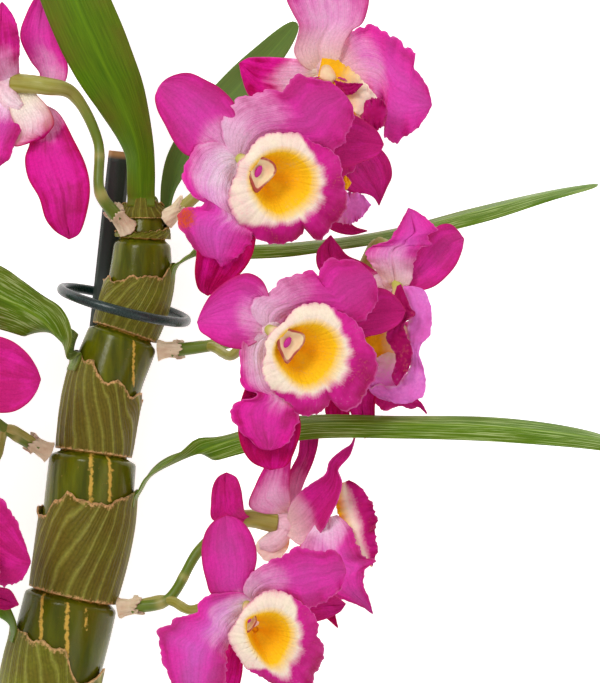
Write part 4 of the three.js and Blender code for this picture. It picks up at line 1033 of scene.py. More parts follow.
tepals = {
    "flower_a": [
        dict(sepalDefault, left=[(238, 164), (206, 158), (186, 155), (174, 142), (165, 125), (157, 109),
                                 (155, 96)],
             right=[(243, 160), (243, 130), (235, 104), (220, 88), (206, 80), (190, 73), (177, 74), (166, 79)],
             tip=(160, 86), lilac=0.5, deep=0.35, pale=0.45, cup=1.2),
        dict(lowSepal, left=[(240, 160), (275, 140), (310, 120), (345, 112), (366, 122), (378, 132)],
             right=[(246, 168), (280, 176), (315, 173), (345, 168), (366, 161), (379, 154)], tip=(384, 145),
             deep=0.75),
        dict(sepalDefault, left=[(234, 172), (212, 205), (200, 235), (196, 258), (195, 276), (199, 290)],
             right=[(243, 176), (256, 205), (257, 228), (252, 256), (242, 272), (228, 284)], tip=(208, 296),
             deep=0.6),
        dict(petalDefault, left=[(240, 160), (228, 150), (222, 135), (223, 118), (231, 104), (243, 97),
                                 (254, 94), (264, 90), (276, 91), (284, 89), (290, 80), (300, 75), (309, 77),
                                 (321, 80), (333, 84)],
             right=[(245, 163), (262, 153), (285, 148), (310, 152), (330, 153), (340, 146), (348, 134),
                    (353, 120), (353, 107)], tip=(345, 95), side=-0.9, pale=0.5, lilac=0.4, deep=0.6,
             rise=[0, 2.0, 4.0, 2.5], waves=4.5),
        dict(petalDefault, left=[(238, 160), (227, 145), (215, 141), (203, 143), (193, 150), (187, 160),
                                 (183, 171), (185, 185), (194, 197), (205, 199), (203, 206), (188, 207),
                                 (179, 213), (180, 228), (190, 243), (201, 255), (213, 257)],
             right=[(241, 166), (238, 182), (238, 200), (243, 218), (252, 232), (249, 246), (239, 255),
                    (230, 262)], tip=(221, 267), side=0.75, pale=0.64, lilac=0.8, deep=0.05,
             rise=[0, 1.5, 2.5, 1.0], waves=3.5, ruffle=1.5, phase=0.8, rust=(184, 218, 12)),
    ],
    "flower_c": [
        dict(sepalDefault, left=[(268, 334), (252, 345), (240, 349), (231, 348), (219, 344), (208, 337),
                                 (200, 331)],
             right=[(270, 324), (270, 300), (262, 280), (248, 273), (234, 277), (220, 286), (209, 297),
                    (201, 311)], tip=(197, 322), lilac=0.6, pale=0.5, deep=0.15, cup=1.4),
        dict(lowSepal, left=[(270, 326), (305, 312), (340, 295), (366, 288), (385, 289), (398, 299)],
             right=[(274, 334), (305, 346), (340, 343), (366, 337), (386, 332), (400, 323)], tip=(406, 311),
             deep=0.9),
        dict(sepalDefault, left=[(264, 338), (250, 375), (240, 405), (238, 430), (243, 450), (253, 463)],
             right=[(271, 340), (278, 372), (293, 400), (301, 425), (296, 448), (286, 466)], tip=(271, 470),
             deep=0.5, rise=[0, -2.0, -1.0, -1.0]),
        dict(petalDefault, left=[(268, 329), (256, 321), (250, 309), (254, 300), (268, 293), (280, 281),
                                 (292, 275), (304, 272), (313, 271), (317, 275), (321, 267), (327, 260),
                                 (338, 259), (354, 260), (365, 267)],
             right=[(273, 332), (288, 321), (308, 315), (330, 317), (346, 322), (360, 321), (371, 313),
                    (377, 300), (378, 289)], tip=(374, 278), side=-0.8, pale=0.48, lilac=0.35, deep=0.6,
             rise=[0, 2.0, 4.0, 2.5], waves=4.5),
        dict(petalDefault, left=[(267, 333), (250, 333), (243, 340), (240, 352), (240, 367), (241, 382),
                                 (246, 390), (257, 393), (254, 398), (238, 401), (231, 409), (233, 420),
                                 (240, 432), (251, 440), (257, 447)],
             right=[(269, 338), (268, 352), (270, 370), (278, 388), (296, 404), (298, 421), (293, 434),
                    (284, 446)], tip=(269, 450), side=0.7, pale=0.6, lilac=0.3, deep=0.15,
             rise=[0, 1.5, 2.2, 1.0], ruffle=1.5, phase=0.6),
    ],
    "flower_e": [
        dict(sepalDefault, left=[(249, 606), (228, 604), (211, 594), (206, 580), (202, 562), (202, 545),
                                 (206, 531), (214, 521)],
             right=[(256, 604), (249, 590), (254, 573), (257, 558), (255, 543), (248, 528), (239, 519)],
             tip=(226, 515.5), deep=0.35, lilac=0.45, pale=0.25, cup=1.0),
        dict(lowSepal, left=[(256, 602), (290, 590), (318, 590), (338, 598)],
             right=[(258, 612), (285, 622), (315, 622), (340, 612)], tip=(346, 604), deep=0.8),
        dict(lowSepal, left=[(250, 610), (226, 640), (212, 670), (202, 700), (200, 720)],
             right=[(254, 614), (244, 645), (242, 675), (234, 702), (222, 722)], tip=(208, 732), deep=0.6),
        dict(petalDefault, left=[(250, 601), (243, 591), (247, 579), (258, 568), (270, 561), (280, 557),
                                 (289, 551), (299, 547), (310, 549), (320, 552), (331, 549), (340, 555)],
             right=[(257, 605), (262, 595), (280, 593), (297, 600), (311, 608), (322, 603), (332, 597),
                    (341, 588)], tip=(346, 571), pale=0.45, side=-0.3, lilac=0.5, deep=0.35, waves=4.5,
             ruffle=1.4),
        dict(petalDefault, left=[(257, 599), (240, 592), (222, 593), (205, 597), (198, 603), (196, 613),
                                 (186, 616), (176, 617), (168, 625), (158, 631), (159, 645), (163, 662),
                                 (170, 680), (180, 697)],
             right=[(264, 610), (247, 618), (238, 629), (231, 641), (226, 655), (227, 670), (223, 685),
                    (214, 698)], tip=(193, 707), pale=0.45, side=0.9, lilac=0.8, deep=0.25, waves=4.0,
             ruffle=1.4),
    ],
    "flower_b": [
        dict(sepalDefault, left=[(316, 74), (303, 66), (294, 52), (297, 38), (299, 26), (292, 12), (286, -3),
                                 (289, -20), (302, -34)],
             right=[(333, 73), (341, 56), (345, 42), (353, 30), (362, 24), (367, 12), (369, -2), (364, -18),
                    (350, -34)], tip=(326, -42), lilac=0.9, pale=0.95, deep=0.0, cream=0.35, cup=3.0,
             rise=[1, 4, 5, 2], crease=0.9, ruffle=0.6),
        dict(sepalDefault, left=[(322, 76), (342, 110), (364, 138), (382, 150), (390, 162), (392, 176),
                                 (387, 188)],
             right=[(316, 80), (318, 120), (326, 160), (340, 186), (354, 193), (366, 194), (374, 198)],
             tip=(379, 206), deep=0.45, lilac=0.2, pale=0.2),
        dict(sepalDefault, left=[(320, 78), (330, 130), (336, 180), (345, 215), (354, 226)],
             right=[(312, 78), (304, 130), (308, 185), (326, 226), (350, 235)], tip=(368, 231), deep=0.5,
             rise=[-1, -3, -4, -3]),
        dict(petalDefault, left=[(326, 72), (334, 56), (343, 46), (350, 33), (362, 26), (377, 27), (391, 35),
                                 (403, 44), (415, 52), (413, 64), (421, 76), (429, 91)],
             right=[(331, 76), (348, 88), (364, 92), (377, 100), (385, 108), (387, 122), (384, 136), (392, 142),
                    (404, 138), (416, 129), (426, 117)], tip=(432, 105), lilac=0.75, pale=0.5, cream=0.25,
             side=0.15, deep=0.0, waves=4.0, ruffle=2.0, rise=[0, 3, 5, 4]),
        dict(petalDefault, left=[(322, 66), (305, 60), (287, 58), (266, 57), (248, 58)],
             right=[(320, 80), (305, 100), (285, 104), (265, 103), (250, 97), (243, 82)], tip=(239, 63),
             deep=0.25, pale=0.6, cream=0.2, ruffle=0.4, frill=0.0),
    ],
    "flower_d": [
        dict(sepalDefault, left=[(396, 283), (410, 262), (419, 246), (430, 233), (440, 225), (450, 224),
                                 (458, 230)],
             right=[(402, 289), (414, 291), (424, 290), (435, 286), (446, 277), (456, 265), (462, 251)],
             tip=(464, 239), height=[38, 39, 38, 36], deep=0.45, lilac=0.2, pale=0.1, layer=-1.5),
        dict(sepalDefault, left=[(384, 286), (366, 315), (352, 350), (347, 380), (348, 405), (357, 425)],
             right=[(394, 290), (392, 330), (386, 360), (378, 388), (375, 405), (374, 421)], tip=(365, 439),
             height=[36, 32, 34, 38], deep=0.25, lilac=0.1, pale=0.1, layer=-1.5),
        dict(sepalDefault, left=[(384, 290), (360, 288), (334, 282), (318, 268), (317, 252), (324, 242)],
             right=[(386, 278), (362, 262), (347, 255), (338, 244)], tip=(331, 235), height=[36, 34, 34, 36],
             deep=0.4, layer=-1.5),
        dict(petalDefault, left=[(388, 285), (379, 275), (372, 265), (366, 257), (369, 248), (378, 244),
                                 (388, 241), (396, 230), (403, 218)],
             right=[(397, 287), (409, 285), (413, 272), (415, 259), (421, 248), (431, 244), (428, 236),
                    (437, 229), (427, 219), (416, 211)], tip=(408, 208), height=[38, 42, 43, 42], lilac=0.8,
             pale=0.6, cream=0.3, deep=0.0, ruffle=1.6, waves=3.0, crease=0.8),
        dict(petalDefault, left=[(374, 380), (388, 390), (402, 396), (414, 398), (421, 402)],
             right=[(366, 390), (376, 404), (385, 411), (393, 408), (401, 406), (411, 409), (418, 407)],
             tip=(427, 414), height=[35, 34, 34, 35], deep=1.0, pale=0.0, layer=0.0, ruffle=0.7,
             rise=[0, 0, 0, 0]),
        # painted shade: this small sepal lies in shadow, and deep 1.0 without pale paints it dark
        dict(sepalDefault, left=[(346, 376), (334, 392), (325, 408), (328, 418)],
             right=[(358, 378), (354, 396), (350, 410), (348, 422)], tip=(343, 428), height=[32, 32, 33, 34],
             deep=1.0, pale=0.0, layer=-2.5),
    ],
    "flower_f": [
        dict(sepalDefault, left=[(286, 514), (262, 513), (249, 506), (256, 484), (264, 468), (276, 450)],
             right=[(291, 512), (290, 495), (290, 478), (291, 462), (294, 445)], tip=(288, 432),
             height=[27, 33, 36, 38], pale=0.75, lilac=0.3, deep=0.1, cup=2.0, cream=0.15),
        dict(sepalDefault, left=[(288, 512), (288, 490), (290, 472), (298, 455), (301, 436)],
             right=[(296, 506), (304, 483), (313, 462), (318, 443), (318, 430)], tip=(312, 418),
             height=[27, 29, 31, 32], pale=0.6, lilac=0.2, deep=0.3, cup=2.5),
        dict(sepalDefault, left=[(252, 521), (226, 523), (212, 519), (211, 504), (213, 486), (218, 477)],
             right=[(254, 518), (246, 514), (243, 502), (241, 489), (236, 477)], tip=(227, 472.5),
             height=[30, 38, 41, 40], pale=0.0, deep=0.45, cup=2.4),
        dict(petalDefault, left=[(287, 518), (291, 503), (301, 491), (314, 482), (326, 473), (329, 462),
                                 (342, 450), (351, 444)],
             right=[(287, 536), (300, 545), (312, 543), (321, 533), (331, 515), (339, 497), (342, 482),
                    (338, 471), (350, 455)], tip=(356, 433), height=[28, 36, 37, 38], pale=0.32, cream=0.25,
             deep=0.5, cup=2.6, ruffle=0.5, frill=0.01, layer=0),
        dict(petalDefault, left=[(318, 520), (302, 545), (300, 562), (312, 582), (330, 594), (346, 601),
                                 (360, 606)],
             right=[(337, 515), (348, 524), (354, 534), (358, 546), (364, 556), (375, 561), (365, 570),
                    (364, 586), (370, 601)], tip=(373, 614), height=[37, 40, 39, 36], pale=0.35, side=-0.3,
             lilac=0.6, deep=0.25, ruffle=1.5, layer=0.0),
        dict(sepalDefault, left=[(300, 560), (312, 590), (316, 612), (326, 618)],
             right=[(312, 556), (326, 588), (334, 610)], tip=(338, 628), height=[24, 24, 24, 26], deep=0.9),
    ],
    "flower_g": [
        dict(sepalDefault, left=[(-64, 372), (-40, 350), (-10, 336), (10, 340), (27, 353), (37, 368)],
             right=[(-64, 380), (-40, 396), (-12, 411), (12, 412), (28, 403), (37, 391)], tip=(41, 380),
             deep=0.7),
        dict(sepalDefault, left=[(-70, 376), (-98, 352), (-116, 318), (-126, 290)],
             right=[(-66, 370), (-74, 338), (-90, 300), (-110, 276)], tip=(-122, 272), deep=0.3),
        dict(sepalDefault, left=[(-70, 378), (-104, 404), (-126, 440)],
             right=[(-64, 384), (-82, 420), (-104, 456)], tip=(-126, 462), deep=0.3),
        dict(petalDefault, left=[(-70, 372), (-88, 335), (-78, 300), (-50, 280)],
             right=[(-62, 372), (-34, 345), (-18, 315), (-20, 290)], tip=(-28, 276), deep=0.1, height=None),
        dict(petalDefault, left=[(-70, 374), (-108, 354), (-158, 356)],
             right=[(-70, 380), (-108, 404), (-162, 396)], tip=(-186, 374), deep=0.1),
    ],
    "flower_h": [
        dict(sepalDefault, left=[(-70, 530), (-98, 504), (-132, 480)],
             right=[(-64, 526), (-82, 490), (-112, 462)], tip=(-140, 464), deep=0.3),
        dict(sepalDefault, left=[(-64, 534), (-30, 555), (-6, 585), (10, 590)],
             right=[(-68, 540), (-40, 570), (-16, 600), (4, 610)], tip=(19, 605), deep=0.7),
        dict(sepalDefault, left=[(-70, 538), (-96, 566), (-104, 600)],
             right=[(-64, 540), (-72, 576), (-84, 610)], tip=(-98, 626), deep=0.3),
        dict(petalDefault, left=[(-66, 530), (-44, 506), (-18, 492), (2, 500), (16, 520), (25, 543)],
             right=[(-64, 540), (-36, 566), (-8, 582), (12, 585), (24, 577)], tip=(31, 562), deep=0.6,
             ruffle=0.6),
        dict(petalDefault, left=[(-70, 532), (-110, 518), (-160, 542)],
             right=[(-70, 540), (-108, 568), (-158, 574)], tip=(-186, 560), deep=0.1),
    ],
    "flower_i": [
        dict(sepalDefault, left=[(14, 92), (40, 76), (30, 60), (20, 36), (27, 12), (38, -8)],
             right=[(22, 96), (62, 86), (68, 68), (60, 44), (56, 20), (54, -6)], tip=(48, -24),
             height=[34, 33, 32, 30], pale=0.55, lilac=0.5, deep=0.0),
        dict(sepalDefault, left=[(8, 84), (10, 112), (18, 134), (14, 146)],
             right=[(26, 84), (38, 96), (50, 110), (54, 124)], tip=(44, 138), height=[35, 38, 39, 40],
             pale=0.9, cream=0.7, lilac=0.0, deep=0.0, layer=1.0, crease=0.5),
        dict(sepalDefault, left=[(22, 108), (30, 140), (25, 158), (28, 178), (39, 198), (46, 220), (56, 232)],
             right=[(44, 104), (58, 112), (74, 140), (86, 166), (90, 188), (87, 212), (79, 234)],
             tip=(69, 239.5), height=[34, 38, 38, 36], pale=0.3, deep=0.15, lilac=0.15, cup=1.0, crease=0.8),
        dict(sepalDefault, left=[(10, 92), (-16, 84), (-50, 80)],
             right=[(8, 108), (-18, 118), (-54, 112)], tip=(-76, 98), height=[34, 30, 30, 28], deep=0.3),
        dict(petalDefault, left=[(4, 90), (-14, 62), (-16, 34), (-6, 12)],
             right=[(20, 82), (19, 62), (20, 44), (16, 22), (8, 8)], tip=(2, 2), height=[36, 42, 44, 42],
             pale=0.5, deep=0.45, ruffle=0.6, frill=0.01),
        dict(petalDefault, left=[(2, 92), (-22, 116), (-36, 146), (-32, 172)],
             right=[(12, 104), (22, 124), (14, 146), (10, 158), (0, 166)], tip=(-14, 178),
             height=[36, 40, 42, 40], pale=0.35, lilac=0.4, deep=0.2, ruffle=0.6, frill=0.01),
    ],
}
tepalGrain = {"petal": (96, 46), "sepal": (56, 30)}
openLipGrain, sideLipGrain = (64, 220), (52, 170)
tissueThickness = 0.55


# Picture points set on the plane that a flower faces from.
def onFlower(flat, flower):
    return placeOn(flat, flower["centre"], unit(np.array(flower["facing"])))


# The blade between a tepal's outlines: a straight mix across from the left one to the right one, its margins
# frilled; then lifted towards the eye by rise, a cup of w^2, a crease down the middle and waves that grow
# towards the margins as |w|^2.2.
def bladeGrid(t, flower):
    rows, columns = tepalGrain[t["kind"]]
    u, w = np.linspace(0, 1, rows), np.linspace(-1, 1, columns)
    share = 1 - (1 - u) ** 1.35
    left = smoothPath([*t["left"], t["tip"]], shares=share * 0.997)
    right = smoothPath([*t["right"], t["tip"]], shares=share * 0.997)
    middle, half = (left + right) / 2, (right - left) / 2
    uu, ww = np.meshgrid(share, w, indexing="ij")
    along = uu * 2 * math.pi
    tooth = np.sin(along * 6.1 + ww + t["phase"]) + 0.8 * np.sin(along * 11.7 + 2 * ww)
    tooth = tooth + 0.7 * np.sin(along * 19 + 1) + 0.4 * np.sin(along * 31)
    frilled = ww * (1 + t["frill"] * tooth * np.abs(ww) ** 6 * ease(uu / 0.3))
    flat = middle[:, None] + half[:, None] * frilled[..., None]
    if t["height"]:
        heights = np.interp(uu, np.linspace(0, 1, len(t["height"])), t["height"])
        base = placeAt(np.concatenate([flat, heights[..., None]], axis=-1))
    else:
        base = onFlower(flat, flower)
    rise = smoothPath(np.array(t["rise"], float)[:, None] * [1, 0]
                      + np.arange(len(t["rise"]))[:, None] * [0, 1], 40)
    lift = t["layer"] + np.interp(uu, rise[:, 1] / rise[-1, 1], rise[:, 0])
    wide = np.linalg.norm(half, axis=1)[:, None] * drawing["step"]
    fullness = np.clip(wide / (wide.max() * 0.6), 0, 1)
    turn = np.where(ww > 0, 0.6, 2.4) + t["phase"]
    wave = np.sin(along * t["waves"] + turn) + 0.45 * np.sin(along * t["waves"] * 2.3 + turn * 2)
    lift = lift + t["cup"] * ww**2 * fullness + t["lean"] * ww
    lift = lift - t["crease"] * np.exp(-((ww / 0.07) ** 2)) * fullness
    lift = lift + t["ruffle"] * np.abs(ww) ** 2.2 * wave * ease(uu / 0.25) * fullness
    lift = lift + t["ruffle"] * 0.3 * np.abs(ww) ** 7 * np.sin(along * 11.7 + turn) * ease(uu / 0.25) * fullness
    lift = lift + 0.18 * np.sin(along * 2.3 + ww * 4 + t["phase"]) * np.sin(ww * 6 - along) * fullness
    return lifted(base, lift), flat, uu, ww


def tepalPart(t, flower):
    grid, flat, uu, ww = bladeGrid(t, flower)
    reach = max(t["pale"], 1e-3)
    pale = np.clip(1.12 - (uu + 0.35 * np.abs(ww) ** 1.5 * reach - t["side"] * ww * 0.25) / reach, 0, 1) ** 1.1
    pale = pale * (t["pale"] > 0)
    # deep: deeper magenta towards the margins and tip, the tepal's own colour; a high deep also paints shade on a
    # tepal in shadow
    deep = np.clip(t["deep"] + 0.35 * np.abs(ww) ** 4 + 0.4 * uu**5, 0, 1) * (1 - pale)
    lilac = t["lilac"] * np.exp(-((ww / 0.75) ** 2)) * (1 - 0.6 * uu**2)
    cream = np.clip(1.2 - uu / max(t["cream"], 1e-3), 0, 1) * (t["cream"] > 0)
    # rim: where a thin lighter line, a painted highlight, runs along a petal's margins
    rim = ease((np.abs(ww) - 0.93) / 0.07) * (t["kind"] == "petal")
    edge = ease((np.maximum(np.abs(ww), uu**3) - 0.86) / 0.14) * (t["kind"] == "sepal") * (1 - pale)
    rust = np.zeros_like(uu)
    if t["rust"]:
        spotX, spotY, spotReach = t["rust"]
        rust = np.exp(-(np.hypot(flat[..., 0] - spotX, flat[..., 1] - spotY) / spotReach) ** 4)
    uv = np.stack([uu, ww * 0.5 + 0.5], axis=-1)
    return bladePart(grid, tissueThickness, uv, {"pale": pale, "deep": deep, "lilac": lilac, "cream": cream,
                                                 "rim": rim, "edge": edge, "rust": rust})


# A flower's own axes as three rows: across, towards its dorsal sepal, and the way it faces.
def axesOf(flower):
    z = unit(np.array(flower["facing"], float))
    wanted = np.array([math.cos(flower["dorsal"] * degree), math.sin(flower["dorsal"] * degree), 0])
    y = unit(wanted - dot(wanted, z) * z)
    return np.stack([np.cross(y, z), y, z])


def inFlower(points, flower):
    return np.array(flower["centre"]) + points @ axesOf(flower)


# The receptacle behind the petals, and the blunt chin that the side sepals form below it.
def receptacleParts(flower):
    rings = np.array([(0, 0, -4, 2.0), (0, 0, -3, 2.7), (0, 0, -1.6, 3.2), (0, 0, 0.4, 3.4), (0, 0, 1.7, 2.6)])
    sides = 28
    turn = wholeTurn(sides)
    cup = np.stack([np.cos(turn)[None] * rings[:, 3:], np.sin(turn)[None] * rings[:, 3:],
                    np.repeat(rings[:, 2:3], sides, axis=1)], axis=-1)
    chinLine = smoothPath([(0, -1.8, -0.6), (0, -5.4, -3.2), (0, -7.2, -7.6)], 20)
    chin = stemPart(chinLine, [3.0, 3.2, 2.9, 1.2], 24, (1, 0, 0))
    parts = [tubePart(cup), chin]
    for part in parts:
        count = len(part["points"])
        part["points"] = inFlower(part["points"], flower)
        part["masks"] = {"pale": np.full(count, 0.6), "cream": np.full(count, 0.35), "lilac": np.full(count, 0.3)}
    return parts


# dorsal is the direction in the picture, in degrees from its right side, in which the flower's top sepal points.
flowerPlaces = {
    "flower_a": {"dorsal": 146}, "flower_b": {"dorsal": 88}, "flower_c": {"dorsal": 146},
    "flower_d": {"dorsal": 68}, "flower_e": {"dorsal": 100}, "flower_f": {"dorsal": 78},
    "flower_g": {"dorsal": 120}, "flower_h": {"dorsal": 150}, "flower_i": {"dorsal": 60},
}
for flowerName, flowerPlace in flowerPlaces.items():
    flowerPlace.update(centre=stems[flowerName]["centre"], facing=stems[flowerName]["facing"])
    addPiece(flowerName + "_tepals", receptacleParts(flowerPlace)
             + [tepalPart(t, flowerPlace) for t in tepals[flowerName]], petalMaterial,
             [flowerName + "_petals"])
print("petals made")

# The lips that face the viewer: closed outlines round a throat, in the picture. edge is the lip's margin and
# mouth the rim of its golden throat; floor is the throat's bottom. plain gives the part of the margin, from one
# angle round the throat to another, that stays cream.
openLips = {
    "flower_a": {
        "middle": (283, 184), "floor": (266, 176, 3), "depth": 8.0, "rimLift": 8.3, "drop": 3.5,
        "edge": [(261, 137), (272, 133), (284, 133), (298, 133), (306, 138), (316, 144), (329, 149), (340, 160),
                 (342, 175), (346, 192), (347, 204), (342, 216), (332, 225), (325, 236), (318, 240), (311, 236),
                 (307, 227), (303, 219), (304, 228), (299, 237), (289, 242), (275, 244), (260, 240), (248, 232),
                 (241, 226), (234, 216), (229, 204), (229, 193), (233, 181), (237, 172), (238, 163), (246, 156),
                 (252, 146)],
        "mouth": [(277, 149), (292, 150), (305, 157), (314, 168), (316, 182), (313, 195), (305, 206), (293, 215),
                  (280, 218), (266, 212), (256, 200), (250, 188), (248, 176), (251, 166), (262, 155)],
        "plain": (62, 238), "ruffle": 2.0,
    },
    "flower_c": {
        "middle": (308, 355), "floor": (292, 347, 3), "depth": 8.0, "rimLift": 8.3, "drop": 3.5,
        "edge": [(285, 321), (291, 313), (300, 306), (314, 303), (328, 305), (338, 311), (350, 317), (359, 326),
                 (365, 336), (363, 343), (358, 347), (364, 343), (371, 346), (377, 360), (376, 376), (367, 390),
                 (361, 402), (352, 409), (341, 410), (335, 402), (333, 391), (330, 383), (331, 395), (326, 407),
                 (312, 415), (298, 414), (291, 404), (280, 397), (270, 388), (263, 374), (263, 362), (267, 352),
                 (265, 343), (271, 333), (278, 327)],
        "mouth": [(300, 323), (317, 321), (333, 329), (341, 343), (338, 364), (323, 382), (306, 389), (291, 382),
                  (279, 368), (272, 353), (276, 340), (286, 329)],
        "plain": (58, 240), "ruffle": 2.0,
    },
    "flower_e": {
        "middle": (268, 637), "floor": (255, 629, 3), "depth": 8.0, "rimLift": 8.2, "drop": 3.5,
        "edge": [(258, 596), (270, 590), (286, 593), (300, 602), (312, 612), (318, 624), (317, 634), (312, 638),
                 (319, 638), (324, 651), (320, 666), (314, 675), (311, 690), (300, 701), (287, 700), (280, 690),
                 (270, 682), (258, 675), (247, 669), (239, 658), (231, 645), (228, 636), (236, 622), (245, 608)],
        "mouth": [(262, 611), (278, 611), (291, 621), (294, 636), (289, 652), (279, 667), (270, 668), (259, 658),
                  (250, 645), (245, 631), (245, 619)],
        "plain": (52, 250), "ruffle": 1.8,
    },
}


# How far a closed outline lies from the middle, at each angle round it.
def reachRound(outline, middle, angle):
    steps = 300
    curve = smoothPath(outline, 8 * steps, closed=True)
    x, y = curve[:, 0] - middle[0], middle[1] - curve[:, 1]
    turn, reach = np.arctan2(y, x), np.hypot(x, y)
    furthest = np.zeros(steps)
    np.maximum.at(furthest, ((turn + math.pi) / (2 * math.pi) * steps).astype(int) % steps, reach)
    furthest = sum(np.roll(furthest, k) * share for k, share in ((-1, 0.25), (0, 0.5), (1, 0.25)))
    centres = (np.arange(steps) + 0.5) / steps * 2 * math.pi - math.pi
    return np.interp(angle, centres, furthest, period=2 * math.pi)


# Closed round its throat: a grid in v from one side of the column round to it again, whose two ends meet.
def roundPart(grid, thickness, masks, uv):
    rows, columns = grid.shape[:2]
    normals = normalsOf(grid, closed=True)
    u = np.linspace(0, 1, rows)[:, None]
    half = thickness / 2 * mix(0.35, 1, np.sqrt(np.clip((1 - u) / 0.05, 0, 1))) * np.ones((1, columns))
    return sleevePart(grid + normals * half[..., None], grid - normals * half[..., None], uv, masks)


# An open lip. Up to u = 0.5 it climbs from the throat's floor to its mouth, out as a mix of floor and mouth and
# up as sin^2; past that it runs out to its edge, drooping, with waves that grow as the third power.
def openLipPart(p, flower):
    rows, columns = openLipGrain
    angle = np.linspace(-math.pi, math.pi, columns + 1)[:-1]
    u = np.linspace(0, 1, rows)
    inner, outer = np.clip(u / 0.5, 0, 1)[:, None], np.clip((u - 0.5) / 0.5, 0, 1)[:, None]
    edge, mouth = (reachRound(p[name], p["middle"], angle)[None, :] for name in ("edge", "mouth"))
    edge = np.maximum(edge, mouth * 1.04)
    floorX, floorY, floorReach = p["floor"]
    opened = inner ** 0.8
    reach = mix(mix(floorReach, mouth, opened), edge, outer)
    fine = np.sin(angle * 31 + 0.5) + 0.7 * np.sin(angle * 53 + 2) + 0.5 * np.sin(angle * 83)
    reach = reach * (1 + 0.010 * fine[None, :] * outer ** 4)
    cx = mix(floorX, p["middle"][0], opened)
    cy = mix(floorY, p["middle"][1], opened)
    flat = np.stack([cx + reach * np.cos(angle), cy - reach * np.sin(angle)], axis=-1)
    base = onFlower(flat, flower)
    width = np.clip((edge - mouth) / 22, 0.15, 1.2)
    wave = np.sin(angle * 7 + 1.2) + 0.7 * np.sin(angle * 12 + 0.4) + 0.35 * np.sin(angle * 23 + 2)
    lift = p["rimLift"] - p["depth"] * np.cos(inner * math.pi / 2) ** 1.6
    lift = lift + (0.9 * np.sin(outer * math.pi) - p["drop"] * outer ** 1.7) * width
    lift = lift + p["ruffle"] * 0.5 * outer ** 3 * wave[None, :] * width
    lift = lift + 0.12 * fine[None, :] * ease(inner * 1.2 - 0.2) * (1 - outer * 0.5)
    grid = lifted(base, lift)
    first, last = p["plain"]
    turned = np.rad2deg(angle) % 360
    plain = ease((turned - first + 25) / 50) * ease((last + 20 - turned) / 50)
    start = mix(0.03, 1.0, plain) + 0.06 * np.sin(angle * 9) + 0.04 * np.sin(angle * 17 + 1)
    margin = ease((outer - start[None, :]) / mix(0.5, 0.35, plain)[None, :])
    margin = np.maximum(margin, 0.4 * ease((outer - 0.75) / 0.25) * plain[None, :])
    gold = np.clip(1 - (u[:, None] - 0.41) / 0.2, 0, 1) * np.ones_like(grid[..., 0])
    sunk = np.rad2deg(np.abs((angle + math.radians(50) + math.pi) % (2 * math.pi) - math.pi))
    # amber: orange towards the throat's floor, partly the lip's own colour and partly painted shade in the bowl
    amber = np.clip(0.75 - inner * 0.8, 0, 1) * np.ones_like(gold) + 0.25 * np.cos(angle * 3)[None, :] * (1 - inner)
    masks = {"margin": margin, "gold": gold, "amber": np.clip(amber, 0, 1),
             "deep": np.clip(outer * 1.1 - 0.1, 0, 1) * ease((110 - sunk) / 90)[None, :],
             # rim: a thin lighter line along the edge, a painted highlight
             "rim": ease((outer - 0.93) / 0.07) * np.ones_like(gold)}
    uv = np.stack([u[:, None] * np.ones_like(gold), np.ones_like(gold) * (angle / (2 * math.pi))[None, :]], axis=-1)
    # the plug that closes the throat's floor is all amber, partly painted shade at the bottom of the bowl
    throat = tubePart(grid[:1].repeat(2, axis=0) + np.array([[[0, 0, 0]], [[0, 0, -0.5]]]))
    count = len(throat["points"])
    throat["masks"] = {"gold": np.ones(count), "amber": np.ones(count)}
    return [roundPart(grid, tissueThickness, masks, uv), throat]


# The lips seen from the side, in their flower's axes. Round the throat, turn runs from the far side of the
# column past the tip and back; along it the lip runs from the bowl's base over its rim to the edge, as a curve
# of the fourth degree through the radii and heights.
sideLips = {
    "flower_b": {"reach": 24, "side": 11, "taper": 5, "throat": 9.0, "depth": 7, "away": 10.4, "drop": 5},
    "flower_d": {"reach": 13, "side": 11, "taper": 1.5, "throat": 8.5, "depth": 9, "away": 12, "drop": 3},
    "flower_f": {"reach": 15, "side": 13, "taper": 1.5, "throat": 8.0, "depth": 14, "away": 10.6, "drop": 3},
    **{name: {"reach": 20, "side": 15, "taper": 1.5, "throat": 9.5, "depth": 9, "away": 9.4, "drop": 3}
       for name in ("flower_g", "flower_h", "flower_i")},
}


